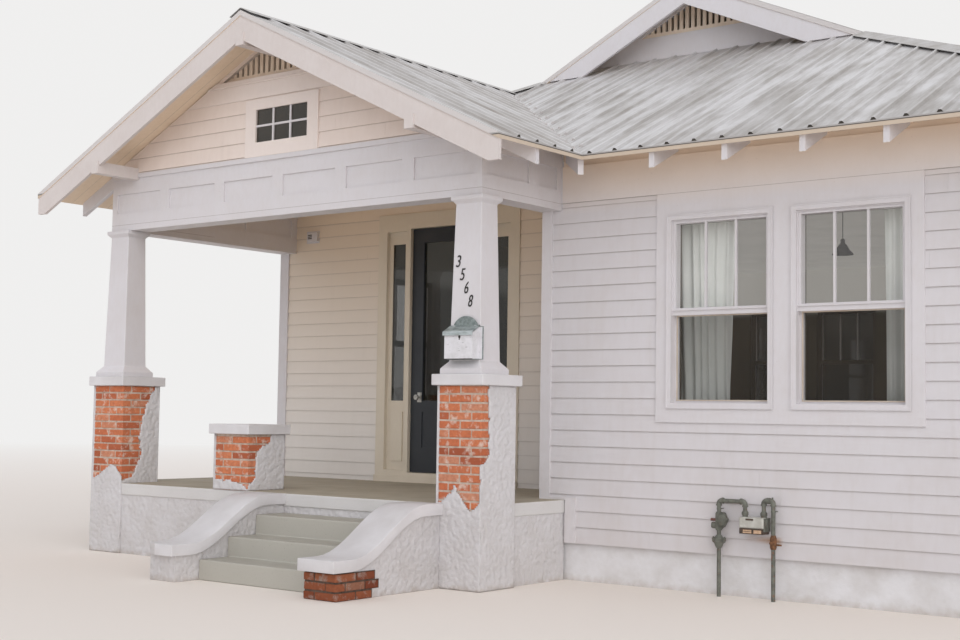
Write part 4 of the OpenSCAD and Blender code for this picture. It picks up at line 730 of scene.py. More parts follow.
roofPitch = math.tan(math.radians(25.9))
left, right, entry, back, gable, low, porchLow, high, porchHigh = walls.values()
lapBoards("front_wall_boards", turned(0, 0, 0), right, low, high, [
    (1.092, 3.224, 1.277, 3.045), (-0.1, 0.254, 0.2, 0.66), (-0.1, 0.185, 2.99, 3.6)])
lapBoards("entry_wall_boards", turned(left, entry, 0), -left, porchLow, porchHigh, [
    (1.384, 3.148, 0.6, 3.303), (-0.1, 0.2, 2.99, 3.6)], (), entrySidingWithPaintedLight)
lapBoards("return_wall_boards", turned(0, entry, -90), entry, porchLow, porchHigh, [])
lapBoards("left_wall_boards", turned(left, back, -90), back - entry, low, high, holesAt(7.0, 2.9))
lapBoards("right_wall_boards", turned(right, 0, 90), back, low, 3.50, holesAt(2.6, 6.7))
lapBoards("back_wall_boards", turned(right, back, 180), right - left, low, high, holesAt(6.5, 2.312))
gableWide = 4.431
gableTop = Vector((gableWide / 2, 0, 4.606))
gableCuts = [(gableTop, Vector((way * roofPitch, 0, 1)).normalized()) for way in (1, -1)]
lapBoards("gable_boards", turned(left, gable, 0), gableWide, 3.514, 4.03,
          [(1.825, 2.702, 3.5, 4.016)], gableCuts, gableSidingPaintAndLight)
bm = bmesh.new()
for proud, foot, top in ((0.014, 4.031, 4.168), (0.024, 4.168, 4.186), (0.018, 4.186, 4.219)):
    addBox(bm, (0, -proud, foot), (gableWide, 0, top))
cutAway(bm, gableCuts)
bevelEdges(bm, 0.0025)
bmesh.ops.transform(bm, matrix=turned(left, gable, 0), verts=bm.verts)
makePiece("gable_band", bm, "trim", [gableTrimPaintAndLight])
print("siding made")


# roof sheets: raised ribs 9 inches apart, and folded caps that stand on them
rightPitch = roofPitch * (roof["ridge"] - roof["left"]) / (roof["right"] - roof["ridge"])
hipSkew = roofPitch / rightPitch


def slope(way, edge, pitch):
    # a roof plane that rises from its eave: way says along which axis
    return lambda x, y: Vector((x, y, roof["eave"] + pitch * ((x, y)[way] - edge)))


leftAt = slope(0, roof["left"], roofPitch)
rightAt = slope(0, roof["right"], -rightPitch)
porchAt = slope(0, roof["porchEave"], -roofPitch)
frontAt = slope(1, roof["front"], roofPitch)
backAt = slope(1, roof["back"], -roofPitch)


def normalOf(slopeAt):
    across = slopeAt(1, 0) - slopeAt(0, 0)
    along = slopeAt(0, 1) - slopeAt(0, 0)
    return across.cross(along).normalized()


def addRib(bm, slopeAt, foot, head, paintedShadeEnd=True):
    foot = slopeAt(*foot)
    head = slopeAt(*head)
    run = head - foot
    if run.length < 0.12:
        return
    made = bmesh.ops.create_cube(bm, size=1)["verts"]
    bmesh.ops.scale(bm, vec=(run.length, roof["base"], roof["rise"]), verts=made)
    crown = [vert for vert in made if vert.co.z > 0]
    bmesh.ops.scale(bm, vec=(1, roof["crown"] / roof["base"], 1), verts=crown)
    up = normalOf(slopeAt)
    run.normalize()
    turn = Matrix((run, up.cross(run), up)).transposed().to_4x4()
    turn.translation = (foot + head) / 2 + up * (roof["rise"] / 2)
    # painted shade: the rib's open end is a closed face in the dark paint
    if paintedShadeEnd:
        for face in facesOf(made):
            if face.calc_center_median().x < -0.49 * (head - foot).length:
                face.material_index = 1
    bmesh.ops.transform(bm, matrix=turn, verts=made)


def ribPlaces(first, low, high):
    place = first - math.floor((first - low) / roof["step"]) * roof["step"]
    while place < high:
        yield place
        place += roof["step"]


left, right, front, back = [roof[side] for side in ("left", "right", "front", "back")]
frontRibs = bmesh.new()
for x in ribPlaces(roof["ribX"], roof["porchRidge"] + 0.1, right - 0.1):
    beyond = x > roof["porchEave"]
    low = front if beyond else front + roof["porchEave"] - x + 0.06
    high = min(2.80, front + (right - x) / hipSkew, x - left + front)
    addRib(frontRibs, frontAt, (x, low), (x, high - 0.02), beyond)
for x in ribPlaces(roof["ribX"], left + 0.1, right - 0.1):
    high = max(6.80, back - (right - x) / hipSkew, back - (x - left))
    addRib(frontRibs, backAt, (x, back), (x, high + 0.02))
makePiece("front_back_ribs", frontRibs, "roof_metal", [roofAlongY, paintedShadeGap])

sideRibs = bmesh.new()
for y in ribPlaces(roof["ribY"], roof["porchEdge"] + 0.08, roof["valleyTop"]):
    beyond = y < front
    low = roof["porchEave"] - (0 if beyond else y - front + 0.06)
    addRib(sideRibs, porchAt, (low, y), (roof["porchRidge"] + 0.015, y), beyond)
for y in ribPlaces(roof["ribY"], roof["porchEdge"] + 0.08, back - 0.1):
    fromHip = y - front if y < roof["gablet"] else back - y
    hipped = not roof["gablet"] <= y <= roof["backGablet"]
    top = left + fromHip - 0.02 if hipped else roof["ridge"] - 0.015
    if y < roof["valleyTop"]:
        top = roof["porchRidge"] - 0.015
    addRib(sideRibs, leftAt, (left, y), (top, y))
    top = right - fromHip * hipSkew + 0.02 if hipped else roof["ridge"] + 0.015
    if y > front + 0.1:
        addRib(sideRibs, rightAt, (right, y), (top, y))
makePiece("side_ribs", sideRibs, "roof_metal", [roofAlongX, paintedShadeGap])

caps = bmesh.new()


def addCap(start, end, sides, limits):
    # one folded sheet along a ridge or hip, a leg on each slope
    bm = bmesh.new()
    for slopeAt in sides:
        first = slopeAt(*start)
        last = slopeAt(*end)
        run = (last - first).normalized()
        up = normalOf(slopeAt)
        out = up.cross(run)
        if out.z > 0:
            out = -out
        made = bmesh.ops.create_cube(bm, size=1)["verts"]
        bmesh.ops.scale(bm, vec=((last - first).length + 0.06, roof["capLeg"], roof["capSheet"]), verts=made)
        turn = Matrix((run, out, up)).transposed()
        if turn.determinant() < 0:
            turn = Matrix((-run, out, up)).transposed()
        turn = turn.to_4x4()
        turn.translation = ((first + last) / 2 + out * (roof["capLeg"] / 2 - 0.004)
                            + up * (roof["rise"] + 0.001))
        bmesh.ops.transform(bm, matrix=turn, verts=made)
    cutAway(bm, limits)
    absorb(caps, bm)


# for each cap: from, to, the two roof planes, and the roof's edges that cut it off
hip = roof["gablet"]
backHip = roof["backGablet"]
ridge = roof["ridge"]
porchRidge = roof["porchRidge"]
hipX = right - (hip - front) * hipSkew
backHipX = right - (back - backHip) * hipSkew
edges = {"left": (-1, 0), "right": (1, 0), "front": (0, -1), "back": (0, 1), "porchEdge": (0, -1),
         "gablet": (0, -1), "backGablet": (0, 1)}
for start, end, sides, limits in (
        ((porchRidge, roof["porchEdge"]), (porchRidge, roof["valleyTop"]), (leftAt, porchAt), ["porchEdge"]),
        ((ridge, hip), (ridge, backHip), (leftAt, rightAt), ["gablet", "backGablet"]),
        ((porchRidge, roof["valleyTop"]), (left + hip - front, hip), (leftAt, frontAt), []),
        ((right, front), (hipX, hip), (rightAt, frontAt), ["right", "front"]),
        ((left, back), (left + back - backHip, backHip), (leftAt, backAt), ["left", "back"]),
        ((right, back), (backHipX, backHip), (rightAt, backAt), ["right", "back"])):
    away = [Vector((*edges[edge], 0)) for edge in limits]
    addCap(start, end, sides, [(way * sum(way) * roof[edge], way) for way, edge in zip(away, limits)])
makePiece("folded_caps", caps, "roof_metal", [zincTrim], replaces=["ridge_caps"])
print("roof sheets made")


# glazing bars in the upper sashes and the gable window
left, right, back = walls["left"], walls["right"], walls["back"]
windowPlaces = [turned(*place) for place in (
    (2.158, 0, 0), (right, 2.6, 90), (left, 2.6, -90), (right, 6.7, 90), (left, 6.7, -90),
    (-2.03, back, 180), (2.158, back, 180))]
bars = {"half": 0.009, "front": 0.006, "back": 0.028, "low": 2.154, "high": 2.809, "off": 0.1275}


bm = bmesh.new()
for place in windowPlaces:
    made = []
    for middle in [window + side for window in (-pair["sash"], pair["sash"])
                   for side in (-bars["off"], bars["off"])]:
        made += addBox(bm, (middle - bars["half"], bars["front"], bars["low"]),
                       (middle + bars["half"], bars["back"], bars["high"]))
    bmesh.ops.transform(bm, matrix=place, verts=made)
x = -1.9825
for middle in (x - 0.1037, x + 0.1037):
    addBox(bm, (middle - bars["half"], -1.096, 3.638), (middle + bars["half"], -1.068, 3.926))
addBox(bm, (x - 0.311, -1.095, 3.773), (x + 0.311, -1.069, 3.791))
makePiece("glazing_bars", bm, "trim", [trim])


# piers: real bricks in mortar, with the stucco broken away in front
pier = {"side": 0.43, "middle": -0.945, "skin": 0.012, "brick": 0.054, "bed": 0.013, "cell": 0.014,
        "capHalf": 0.25, "capHigh": 0.085}
# for each face, the bare brick's lower line over the width, and its reach over the height
piers = [
    {"name": "right", "x": 0.0615, "low": 0.0, "high": 1.535,
     "lower": [(0.0, 0.67), (0.05, 0.65), (0.11, 0.69), (0.176, 0.776), (0.20, 0.74), (0.255, 0.67),
               (0.33, 0.59), (0.38, 0.62), (0.415, 0.66), (0.43, 0.9)],
     "reach": [(0.93, 0.0), (0.96, 0.07), (1.02, 0.097), (1.13, 0.106), (1.28, 0.103), (1.54, 0.085)]},
    {"name": "left", "x": -4.1225, "low": 0.0, "high": 1.535,
     "lower": [(0.0, 0.66), (0.10, 0.70), (0.185, 0.75), (0.28, 0.81), (0.36, 0.77), (0.43, 0.70)],
     "reach": [(0.66, 0.0), (0.69, 0.13), (0.80, 0.195), (0.91, 0.235), (1.05, 0.205), (1.18, 0.225),
               (1.30, 0.265), (1.42, 0.315), (1.54, 0.39)]},
    {"name": "low", "x": -2.44, "low": 0.64, "high": 1.118,
     "lower": [(0.0, 0.70), (0.045, 0.72), (0.17, 0.73), (0.26, 0.715), (0.365, 0.69), (0.43, 0.65)],
     "reach": [(0.65, 0.0), (0.69, 0.03), (0.74, 0.09), (0.92, 0.105), (0.97, 0.11), (1.01, 0.16),
               (1.045, 0.26), (1.12, 0.28)]},
]


def isBare(spec, face, across, height):
    rough = noise.noise(Vector((across * 17, height * 17, spec["x"] * 7))) * 0.02
    if face == "front":
        return height > between(spec["lower"], across) + rough
    if face == "right":
        return across < between(spec["reach"], height) + rough
    return False


bricks = bmesh.new()
tone = bricks.faces.layers.float.new("tone")
beds = bmesh.new()
skins = bmesh.new()
dice = random.Random(7)
for spec in piers:
    half = pier["side"] / 2 - pier["skin"]
    middle = Vector((spec["x"], pier["middle"], 0))
    addBlock(beds, spec["x"], pier["middle"], half - 0.0035, spec["low"], spec["high"])
    level = spec["low"] if spec["low"] > 0 else 0.404
    course = 0
    while level < spec["high"] - 0.01:
        top = min(level + pier["brick"], spec["high"])
        for quarter in range(4):
            turn = Matrix.Translation(middle) @ Matrix.Rotation(math.radians(90 * quarter), 4, "Z")
            long = (quarter + course) % 2 == 0
            runs = [(-half, -0.0065), (0.0065, half)] if long else [(-half + 0.1, half - 0.1)]
            for a, b in runs:
                nudge = dice.uniform(-0.003, 0.0015)
                made = addBox(bricks, (a, -half + nudge, level), (b, -half + 0.09, top))
                shade = shadeOf(dice, 0.5, 0.26)
                for face in facesOf(made):
                    face[tone] = shade
                bmesh.ops.transform(bricks, matrix=turn, verts=made)
        level += pier["brick"] + pier["bed"]
        course += 1
    for quarter, face in enumerate(("front", "right", "back", "left")):
        fine = face in ("front", "right")
        cell = pier["cell"] if fine else 0.06
        foot = spec["low"] + 0.0025
        tall = spec["high"] - foot
        wide = pier["side"]
        turn = Matrix.Translation(middle) @ Matrix.Rotation(math.radians(90 * quarter), 4, "Z")
        sheet = bmesh.new()
        addSheet(sheet, (0, -wide / 2, foot + tall / 2), wide, tall, round(wide / cell), round(tall / cell))
        bare = [f for f in sheet.faces if isBare(spec, face, f.calc_center_median().x + wide / 2,
                                                 f.calc_center_median().z)]
        bmesh.ops.delete(sheet, geom=bare, context="FACES")
        for vert in sheet.verts:
            onRim = abs(abs(vert.co.x) - wide / 2) < 1e-4 or not foot + 1e-4 < vert.co.z < spec["high"] - 1e-4
            bend = noise.noise_vector(vert.co * 31 + Vector((spec["x"], quarter, 0)))
            if vert.is_boundary and not onRim:
                vert.co.x += bend.x * 0.009
                vert.co.z += bend.z * 0.009
                vert.co.y += 0.002
            elif not onRim and fine:
                vert.co.y += noise.noise(vert.co * 24) * 0.0022 + 0.001
        bmesh.ops.transform(sheet, matrix=turn, verts=sheet.verts)
        absorb(skins, sheet)
bevelEdges(bricks, 0.0045)
for vert in bricks.verts:
    vert.co += noise.noise_vector(vert.co * 37) * 0.0016
bmesh.ops.remove_doubles(skins, verts=skins.verts, dist=0.0002)
makePiece("pier_bricks", bricks, "brick", [brick], replaces=["brick_piers"])
makePiece("pier_mortar", beds, "brick", [mortar])
skin = makePiece("pier_stucco", skins, "stucco", [stucco], replaces=["brick_piers"], smooth=True)
thick = skin.modifiers.new("thickness", "SOLIDIFY")
thick.thickness = pier["skin"] - 0.001
thick.offset = -1

bm = bmesh.new()
for spec in piers:
    addBlock(bm, spec["x"], pier["middle"], pier["capHalf"], spec["high"], spec["high"] + pier["capHigh"])
bevelEdges(bm, 0.006, 2)
makePiece("pier_caps", bm, "trim", [coping], replaces=["brick_piers"])
print("piers made")


# curtains: pleated sheets on a rod behind the front windows
curtain = {"left": 1.092, "right": 3.224, "y": 0.21, "z": 2.931, "rod": 0.011, "low": 0.765,
           "pleat": 0.084, "deep": 0.021}
bm = bmesh.new()
addRod(bm, (curtain["left"], curtain["y"], curtain["z"]), (curtain["right"], curtain["y"], curtain["z"]),
       curtain["rod"], sides=16)
for x in (curtain["left"] + 0.01, curtain["right"] - 0.01):
    bmesh.ops.create_uvsphere(bm, u_segments=12, v_segments=8, radius=curtain["rod"],
                              matrix=Matrix.Translation((x, curtain["y"], curtain["z"])))
for x in (1.112, 2.158, 3.204):
    addBox(bm, (x - 0.008, 0.14, curtain["z"] - 0.008), (x + 0.008, curtain["y"], curtain["z"] + 0.008))
rod = makePiece("curtain_rod", bm, "dark_metal", [black], replaces=["curtains"])
for name, x0, x1, pinch in (("left_curtain", 1.132, 1.655, 0.18), ("right_curtain", 2.85, 3.184, 0.06)):
    bm = bmesh.new()
    across = round((x1 - x0) / curtain["pleat"] * 14)
    high = curtain["z"] - curtain["low"]
    addSheet(bm, ((x0 + x1) / 2, curtain["y"], curtain["low"] + high / 2), x1 - x0, high, across, 36)
    for vert in bm.verts:
        slack = noise.noise(Vector((vert.co.x * 5, 0, vert.co.z * 0.5)))
        turn = 2 * math.pi * (vert.co.x - x0) / curtain["pleat"] + slack * 3.2
        vert.co.y += curtain["deep"] * math.sin(turn) * (0.8 + 0.2 * slack)
        fall = (curtain["z"] - vert.co.z) / high
        vert.co.x += ((x0 + x1) / 2 - vert.co.x) * pinch * min(1.0, fall * 1.6)
    area = sum(face.calc_area() for face in bm.faces)
    cloth = makePiece(name, bm, "curtain_cloth", [linen], replaces=["curtains"], smooth=True)
    area / high
print("curtains made")


# thin stops round the panes of every window
stops = {"half": 0.444, "low": 1.389, "high": 2.871, "frame": 0.036, "sash": 0.062, "meet": (2.098, 2.154)}


def addRing(bm, x, half, low, high, wide, front, back):
    inner = half - wide
    for ends in ((-half, -inner), (inner, half)):
        addBox(bm, (x + ends[0], front, low), (x + ends[1], back, high))
    for foot in (low, high - wide):
        addBox(bm, (x - inner, front, foot), (x + inner, back, foot + wide))


outer = bmesh.new()
sashes = bmesh.new()
half, low, high, meet = stops["half"], stops["low"], stops["high"], stops["meet"]
inner = half - stops["frame"]
pane = half - stops["sash"] + 0.008
for place in windowPlaces:
    made = len(outer.verts), len(sashes.verts)
    for x in (-pair["sash"], pair["sash"]):
        addRing(outer, x, half + 0.006, low - 0.006, high + 0.006, 0.009, -0.035, -0.029)
        addRing(outer, x, inner, meet[1] - 0.02, high - stops["frame"], 0.008, -0.012, 0.001)
        addRing(sashes, x, pane, low + stops["sash"] - 0.008, meet[0], 0.009, 0.029, 0.038)
    for bm, first in zip((outer, sashes), made):
        bm.verts.ensure_lookup_table()
        bmesh.ops.transform(bm, matrix=place, verts=bm.verts[first:])
makePiece("window_stops", outer, "trim", [trim])
# the lower sash's stops are beige: painted shade in its recess
makePiece("lower_sash_stops", sashes, "trim", [sashPaintedShade])


# house numbers: thin leaning metal digits on the column
numbers = {"text": "3568", "left": -0.045, "step": 0.042, "top": 2.532, "drop": 0.103,
           "wide": 0.038, "high": 0.092, "thick": 0.004, "lean": 0.18}


def columnFace(z):
    return -1.107 + 0.0215 * (z - 1.72)


bm = bmesh.new()
for spot, sign in enumerate(numbers["text"]):
    curve = bpy.data.curves.new("digit", "FONT")
    curve.body = sign
    curve.extrude = 0.05
    curve.resolution_u = 4
    shape = addObject("digit", curve)
    flat = bpy.data.meshes.new_from_object(shape)
    bpy.data.objects.remove(shape)
    bpy.data.curves.remove(curve)
    first = len(bm.verts)
    bm.from_mesh(flat)
    bpy.data.meshes.remove(flat)
    bm.verts.ensure_lookup_table()
    made = bm.verts[first:]
    low = Vector([min(vert.co[way] for vert in made) for way in range(3)])
    size = Vector([max(vert.co[way] for vert in made) for way in range(3)]) - low
    base = numbers["top"] - numbers["high"] - spot * numbers["drop"]
    for vert in made:
        part = vert.co - low
        rise = part.y / size.y * numbers["high"]
        across = part.x / size.x * numbers["wide"] + rise * numbers["lean"]
        z = base + rise
        vert.co = (numbers["left"] + spot * numbers["step"] + across,
                   columnFace(z) - 0.0006 - part.z / size.z * numbers["thick"], z)
bmesh.ops.recalc_face_normals(bm, faces=bm.faces)
makePiece("number_digits", bm, "dark_metal", [black], replaces=["house_numbers"])


# letter box: lock plate, bottom rim and lid beading
bm = bmesh.new()
addRod(bm, (0.084, -1.1995, 1.8985), (0.084, -1.203, 1.8985), 0.011, 0.009)
addBox(bm, (0.0795, -1.2025, 1.876), (0.0885, -1.1995, 1.893))
addRod(bm, (0.084, -1.203, 1.8985), (0.084, -1.2055, 1.8985), 0.0045)
addBox(bm, (-0.0615, -1.2005, 1.7285), (0.2095, -1.1985, 1.7345))
bevelEdges(bm, 0.0006)
makePiece("mailbox_lock", bm, "dark_metal", [black])


# pendant lamp: a spun shade with a flared skirt
lamp = {"x": 0.95, "y": 3.79, "rim": 2.95, "ceiling": 3.44,
        "outline": [(0.105, 0.0), (0.103, 0.008), (0.088, 0.026), (0.064, 0.05), (0.05, 0.082),
                    (0.034, 0.104), (0.022, 0.112), (0.022, 0.15), (0.012, 0.158), (0.004, 0.16)]}
bm = bmesh.new()
rim = [bm.verts.new((lamp["x"] + radius, lamp["y"], lamp["rim"] + height))
       for radius, height in lamp["outline"]]
line = [bm.edges.new(ends) for ends in zip(rim, rim[1:])]
bmesh.ops.spin(bm, geom=rim + line, cent=(lamp["x"], lamp["y"], 0), axis=(0, 0, 1),
               angle=math.radians(360), steps=32, use_merge=True)
bmesh.ops.holes_fill(bm, edges=[edge for edge in bm.edges if edge.is_boundary and
                                edge.verts[0].co.z > lamp["rim"] + 0.1], sides=0)
bmesh.ops.recalc_face_normals(bm, faces=bm.faces)
bmesh.ops.solidify(bm, geom=bm.faces[:], thickness=0.0015)
for foot, top, *radii in ((lamp["rim"] + 0.155, lamp["ceiling"] - 0.02, 0.004),
                          (lamp["ceiling"] - 0.025, lamp["ceiling"], 0.03, 0.045)):
    addRod(bm, (lamp["x"], lamp["y"], foot), (lamp["x"], lamp["y"], top), *radii)
bmesh.ops.create_uvsphere(bm, u_segments=16, v_segments=10, radius=0.03,
                          matrix=Matrix.Translation((lamp["x"], lamp["y"], lamp["rim"] + 0.035)))
makePiece("lamp_shade", bm, "dark_metal", [lampPaint], replaces=["pendant_lamp"], crease=40)


# gas meter: screwed pipes with elbows, a regulator, unions, the case and a rusty valve
meter = {
    "y": -0.075, "pipe": 0.0155, "fitting": 0.0195, "bend": 0.026, "bracket": 0.645,
    "left": 1.676, "inlet": 1.891, "outlet": 2.041, "right": 2.1165, "leftTop": 0.706, "rightTop": 0.721,
    "case": ((1.868, -0.133, 0.517), (2.064, -0.02, 0.598)),
    "tray": ((1.874, -0.135, 0.477), (2.06, -0.03, 0.518)),
}
bm = bmesh.new()


def pipeAt(x, z):
    return (x, meter["y"], z)


def addRods(x, rows, spot=0):
    # each row: from and to, as a distance from x and a height, then the two radii and the sides
    for fromX, fromZ, toX, toZ, *shape in rows:
        addRod(bm, pipeAt(x + fromX, fromZ), pipeAt(x + toX, toZ), *shape, spot=spot)


def addRiser(x, low, high):
    addRods(x, [(0, low, 0, high, meter["pipe"]),
                (0, high - 0.012, 0, high, meter["fitting"] + 0.003)])


for first, last, top in ((meter["left"], meter["inlet"], meter["leftTop"]),
                         (meter["outlet"], meter["right"], meter["rightTop"])):
    addBend(bm, pipeAt(first + meter["bend"], top - meter["bend"]), 90, meter["bend"], meter["fitting"])
    addBend(bm, pipeAt(last - meter["bend"], top - meter["bend"]), 0, meter["bend"], meter["fitting"])
    addRod(bm, pipeAt(first + meter["bend"], top), pipeAt(last - meter["bend"], top), meter["pipe"])
    for x, way in ((first + meter["bend"], 1), (last - meter["bend"], -1)):
        addRod(bm, pipeAt(x, top), pipeAt(x + way * 0.012, top), meter["fitting"] + 0.003)
addRiser(meter["left"], 0.0, meter["leftTop"] - meter["bend"])
addRiser(meter["inlet"], 0.58, meter["leftTop"] - meter["bend"])
addRiser(meter["outlet"], 0.58, meter["rightTop"] - meter["bend"])
addRiser(meter["right"], 0.0, meter["rightTop"] - meter["bend"])
addRods(meter["right"], [(-0.006, meter["rightTop"] + 0.01, -0.006, 0.747, 0.006)])
for x in (meter["inlet"], meter["outlet"]):
    addRods(x, [(0, 0.612, 0, 0.632, 0.0265, None, 8), (0, 0.59, 0, 0.612, 0.021),
                (0, 0.632, 0, 0.64, 0.02)])
x = meter["left"]
regulator = [
    (0, 0.505, 0, 0.612, 0.027), (0, 0.612, 0, 0.622, 0.023),
    (-0.055, 0.522, 0.03, 0.522, 0.024, None, 8), (0, 0.486, 0, 0.508, 0.023, 0.03),
    (0.01, 0.565, 0.026, 0.565, 0.036), (0.026, 0.565, 0.034, 0.565, 0.058),
    (0.034, 0.565, 0.042, 0.565, 0.056), (0.042, 0.565, 0.062, 0.565, 0.048, 0.022),
    (0.062, 0.565, 0.074, 0.565, 0.018, 0.014)]
addRods(x, regulator)
for spot in range(8):
    turn = math.radians(45 * spot + 20)
    bolt = Vector((x + 0.024, meter["y"] + 0.051 * math.cos(turn), 0.565 + 0.051 * math.sin(turn)))
    addRod(bm, bolt, bolt + Vector((0.021, 0, 0)), 0.004, sides=6)
addRods(x, [(-0.066, 0.563, -0.02, 0.563, 0.0105, None, 12)], 2)
union = [
    (0, 0.43, 0, 0.452, 0.036, 0.02), (0, 0.406, 0, 0.43, 0.052, 0.056, 8),
    (0, 0.396, 0, 0.406, 0.044, 0.052, 8), (0, 0.358, 0, 0.396, 0.022, 0.038),
    (-0.046, 0.398, -0.046, 0.44, 0.006, None, 6), (0.046, 0.398, 0.046, 0.44, 0.006, None, 6)]
addRods(x, union)
x = meter["right"]
valve = [
    (0, 0.385, 0, 0.455, 0.025), (0, 0.455, 0, 0.475, 0.024, 0.0175),
    (0, 0.372, 0, 0.387, 0.0185, 0.024), (0.02, 0.407, 0.064, 0.407, 0.0085, 0.0065, 8)]
addRods(x, valve, 1)
addRod(bm, (x, meter["y"] - 0.02, 0.42), (x, meter["y"] - 0.045, 0.42), 0.012, sides=8, spot=1)
for x in (meter["left"], meter["right"]):
    z = meter["bracket"]
    addRod(bm, pipeAt(x, z - 0.006), pipeAt(x, z + 0.006), meter["pipe"] + 0.002)
    addBox(bm, (x - 0.003, meter["y"] + 0.015, z - 0.003), (x + 0.003, -0.001, z + 0.003))
makePiece("meter_pipes", bm, "pipe_metal", [meterPaint, rust, redPlug], replaces=["gas_meter"], crease=35)

bm = bmesh.new()
addBox(bm, *meter["case"])
bevelEdges(bm, 0.012, 3)
addBox(bm, *meter["tray"], 1)
for x0, x1 in ((1.904, 1.972), (1.99, 2.05)):
    addBox(bm, (x0, -0.1375, 0.484), (x1, -0.13, 0.508), 2)
# painted shade: the slot near the top is a dark box; the second is a thin dark line on the first dial window
for x0, x1, z0, z1 in ((1.926, 1.985, 0.577, 0.589), (1.904, 1.972, 0.4945, 0.4975)):
    addBox(bm, (x0, -0.1385, z0), (x1, -0.13, z1), 1)
for y in (-0.118, -0.096, -0.074, -0.052, -0.03):
    addBox(bm, (2.06, y - 0.004, 0.497), (2.07, y + 0.004, 0.594), 3)
for x, z in ((1.884, 0.557), (2.034, 0.565)):
    addRod(bm, (x, -0.131, z), (x, -0.1375, z), 0.005, 0.004, sides=10)
makePiece("meter_case", bm, "pipe_metal", [meterCase, meterDark, meterPane, meterPaint],
          replaces=["gas_meter"])


# bare bricks at the toe of the right cheek wall
toe = {"front": -2.29, "left": -0.4, "right": -0.11, "proud": 0.011, "reach": (-1.93, -1.86, -1.9)}
bm = bmesh.new()
tone = bm.faces.layers.float.new("tone")
dice = random.Random(3)
for course, reach in enumerate(toe["reach"]):
    low = 0.003 + course * 0.066
    high = low + 0.054
    turnedHead = course % 2 == 0
    splits = [toe["left"], toe["left"] + (0.092 if turnedHead else 0.198), toe["right"]]
    made = []
    for a, b in zip(splits, splits[1:]):
        made.append(((a - (toe["proud"] if a == splits[0] else -0.005), toe["front"] - toe["proud"], low),
                     (b + (toe["proud"] if b == splits[-1] else -0.005), toe["front"] + 0.05, high)))
    y = toe["front"] + (0.198 if turnedHead else 0.092)
    made[-1] = (made[-1][0], (made[-1][1][0], y - 0.005, high))
    while y < reach - 0.03:
        made.append(((toe["right"] - 0.06, y + 0.005, low),
                     (toe["right"] + toe["proud"], min(y + 0.195, reach), high)))
        y += 0.2
    for first, last in made:
        jitter = dice.uniform(-0.003, 0.003)
        brickVerts = addBox(bm, (first[0], first[1] + jitter, first[2]), (last[0] + jitter, *last[1:]))
        shade = shadeOf(dice, 0.4, 0.3)
        for face in facesOf(brickVerts):
            face[tone] = shade
bevelEdges(bm, 0.006, 2)
for vert in bm.verts:
    vert.co += noise.noise_vector(vert.co * 26) * 0.0025
    vert.co.z = max(vert.co.z, 0.001)
makePiece("toe_bricks", bm, "brick", [oldBrick])
bm = bmesh.new()
addBox(bm, (toe["left"] - 0.005, toe["front"] - 0.005, 0.001),
       (toe["right"] + 0.005, toe["front"] + 0.06, 0.195))
for course, reach in enumerate(toe["reach"]):
    addBox(bm, (toe["right"] - 0.05, toe["front"] + 0.05, 0.001 + course * 0.065),
           (toe["right"] + 0.005, reach + 0.012, 0.066 + course * 0.0645))
makePiece("toe_mortar", bm, "brick", [oldMortar])


# a small louvred box high on the entry wall
bm = bmesh.new()
addBox(bm, (-3.87, 1.142, 3.1), (-3.72, 1.176, 3.2))
bevelEdges(bm, 0.006, 2)
# painted shade: the louvre slots are dark boxes
for spot in range(3):
    addBox(bm, (-3.852, 1.1405, 3.128 + spot * 0.018), (-3.795, 1.146, 3.138 + spot * 0.018), 1)
makePiece("wall_box", bm, "trim", [trim, paintedShadeGap])


# softened copies of the slab, steps, cheek walls and columns
for node, offset, slot, finish in (("porch_slab", 0.008, "porch_concrete", slabConcrete),
                                   ("steps", 0.01, "step_concrete", stepConcrete),
                                   ("porch_columns", 0.005, "trim", trim)):
    makePiece(node + "_soft", softened(node, offset), slot, [finish], replaces=[node])
soft = softened("cheek_walls", 0.014, 3)
for face in soft.faces:
    reach = max(min(abs(vert.co.x + 1.945), abs(vert.co.x + 0.255)) for vert in face.verts)
    face.material_index = 1 if reach > 0.15 else 0
makePiece("cheek_walls_soft", soft, "stucco", [stucco, coping], replaces=["cheek_walls"], crease=30)
print("small pieces made")


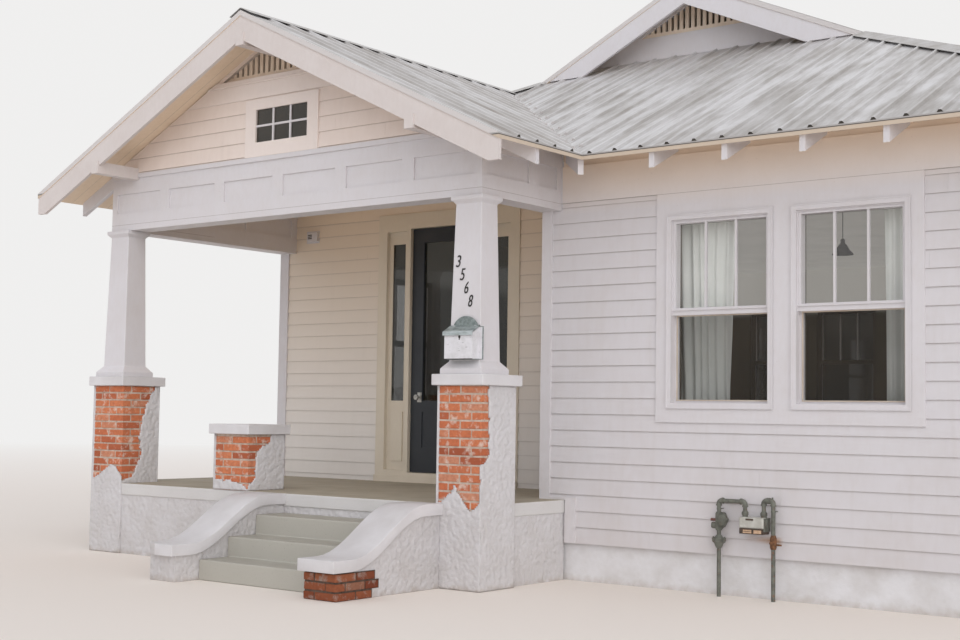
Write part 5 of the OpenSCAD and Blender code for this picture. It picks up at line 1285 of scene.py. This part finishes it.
# floor, camera and light
def makeStudio():
    bm = bmesh.new()
    bmesh.ops.create_circle(bm, cap_ends=True, segments=64, radius=300)
    mesh = bpy.data.meshes.new("studio_floor")
    bm.to_mesh(mesh)
    bm.free()
    floor = addObject("studio_floor", mesh)
    paint = Finish("studio_floor", 0.95, 0.0)
    paint.shader.inputs["Base Color"].default_value = rgb(240, 232, 224)
    away = paint.add("ShaderNodeVectorMath", {"operation": "LENGTH"}, {0: paint.coords()}, "Value")
    far = paint.rise(away, 12, 45)
    light = paint.add("ShaderNodeEmission", {}, {"Color": studio["backdrop"], "Strength": 1.0})
    mixed = paint.add("ShaderNodeMixShader", {}, {0: far, 1: Wire(paint, paint.shader.outputs[0]), 2: light})
    out = paint.tree.nodes["Material Output"]
    paint.tree.links.new(mixed.socket, out.inputs["Surface"])
    mesh.materials.append(paint.material)

    world = bpy.data.worlds.new("studio")
    bpy.context.scene.world = world
    graph = Graph(world)
    lights = [graph.add("ShaderNodeBackground", {}, {"Color": studio[colour], "Strength": strength})
              for colour, strength in (("sky", studio["skyStrength"]), ("backdrop", 1.0))]
    rays = [graph.add("ShaderNodeLightPath", output=f"Is {kind} Ray")
            for kind in ("Camera", "Glossy", "Transmission")]
    seen = rays[0].maths("MAXIMUM", rays[0].maths("MAXIMUM", *rays[:2]), rays[2])
    mixed = graph.add("ShaderNodeMixShader", {}, {0: seen, 1: lights[0], 2: lights[1]})
    graph.tree.links.new(mixed.socket, graph.tree.nodes["World Output"].inputs["Surface"])

    for energy, spread, colour, source in studio["suns"]:
        lamp = bpy.data.lights.new("soft_sun", "SUN")
        lamp.energy = energy
        lamp.angle = math.radians(spread)
        lamp.color = colour
        sun = addObject("soft_sun", lamp)
        sun.rotation_euler = Vector(source).to_track_quat("Z", "Y").to_euler()

    lens = bpy.data.cameras.new("camera")
    lens.lens = studio["lens"]
    lens.sensor_width = 36
    lens.clip_end = 500
    camera = addObject("camera", lens)
    turn = [math.radians(angle) for angle in studio["turn"]]
    camera.matrix_world = (Matrix.Translation(studio["eye"]) @ Matrix.Rotation(turn[0], 4, "Z")
                           @ Matrix.Rotation(math.radians(90) + turn[1], 4, "X")
                           @ Matrix.Rotation(turn[2], 4, "Z"))
    bpy.context.scene.camera = camera


studio = {
    "eye": (6.791, -13.588, 1.319), "turn": (37.858, 3.713, 0.829), "lens": 54.38,
    "sky": (0.97, 0.985, 1.04, 1.0), "skyStrength": 0.68, "backdrop": (0.87, 0.865, 0.86, 1.0),
    "suns": [(0.35, 28, (1.0, 0.98, 0.96), (0.3, -0.6, 1.0)),
             (2.1, 75, (1.0, 0.988, 0.98), (1.0, -0.8, 0.05))],
}
makeStudio()
bpy.context.scene.view_settings.view_transform = "Standard"

bpy.context.view_layer.update()
print("scene ready")
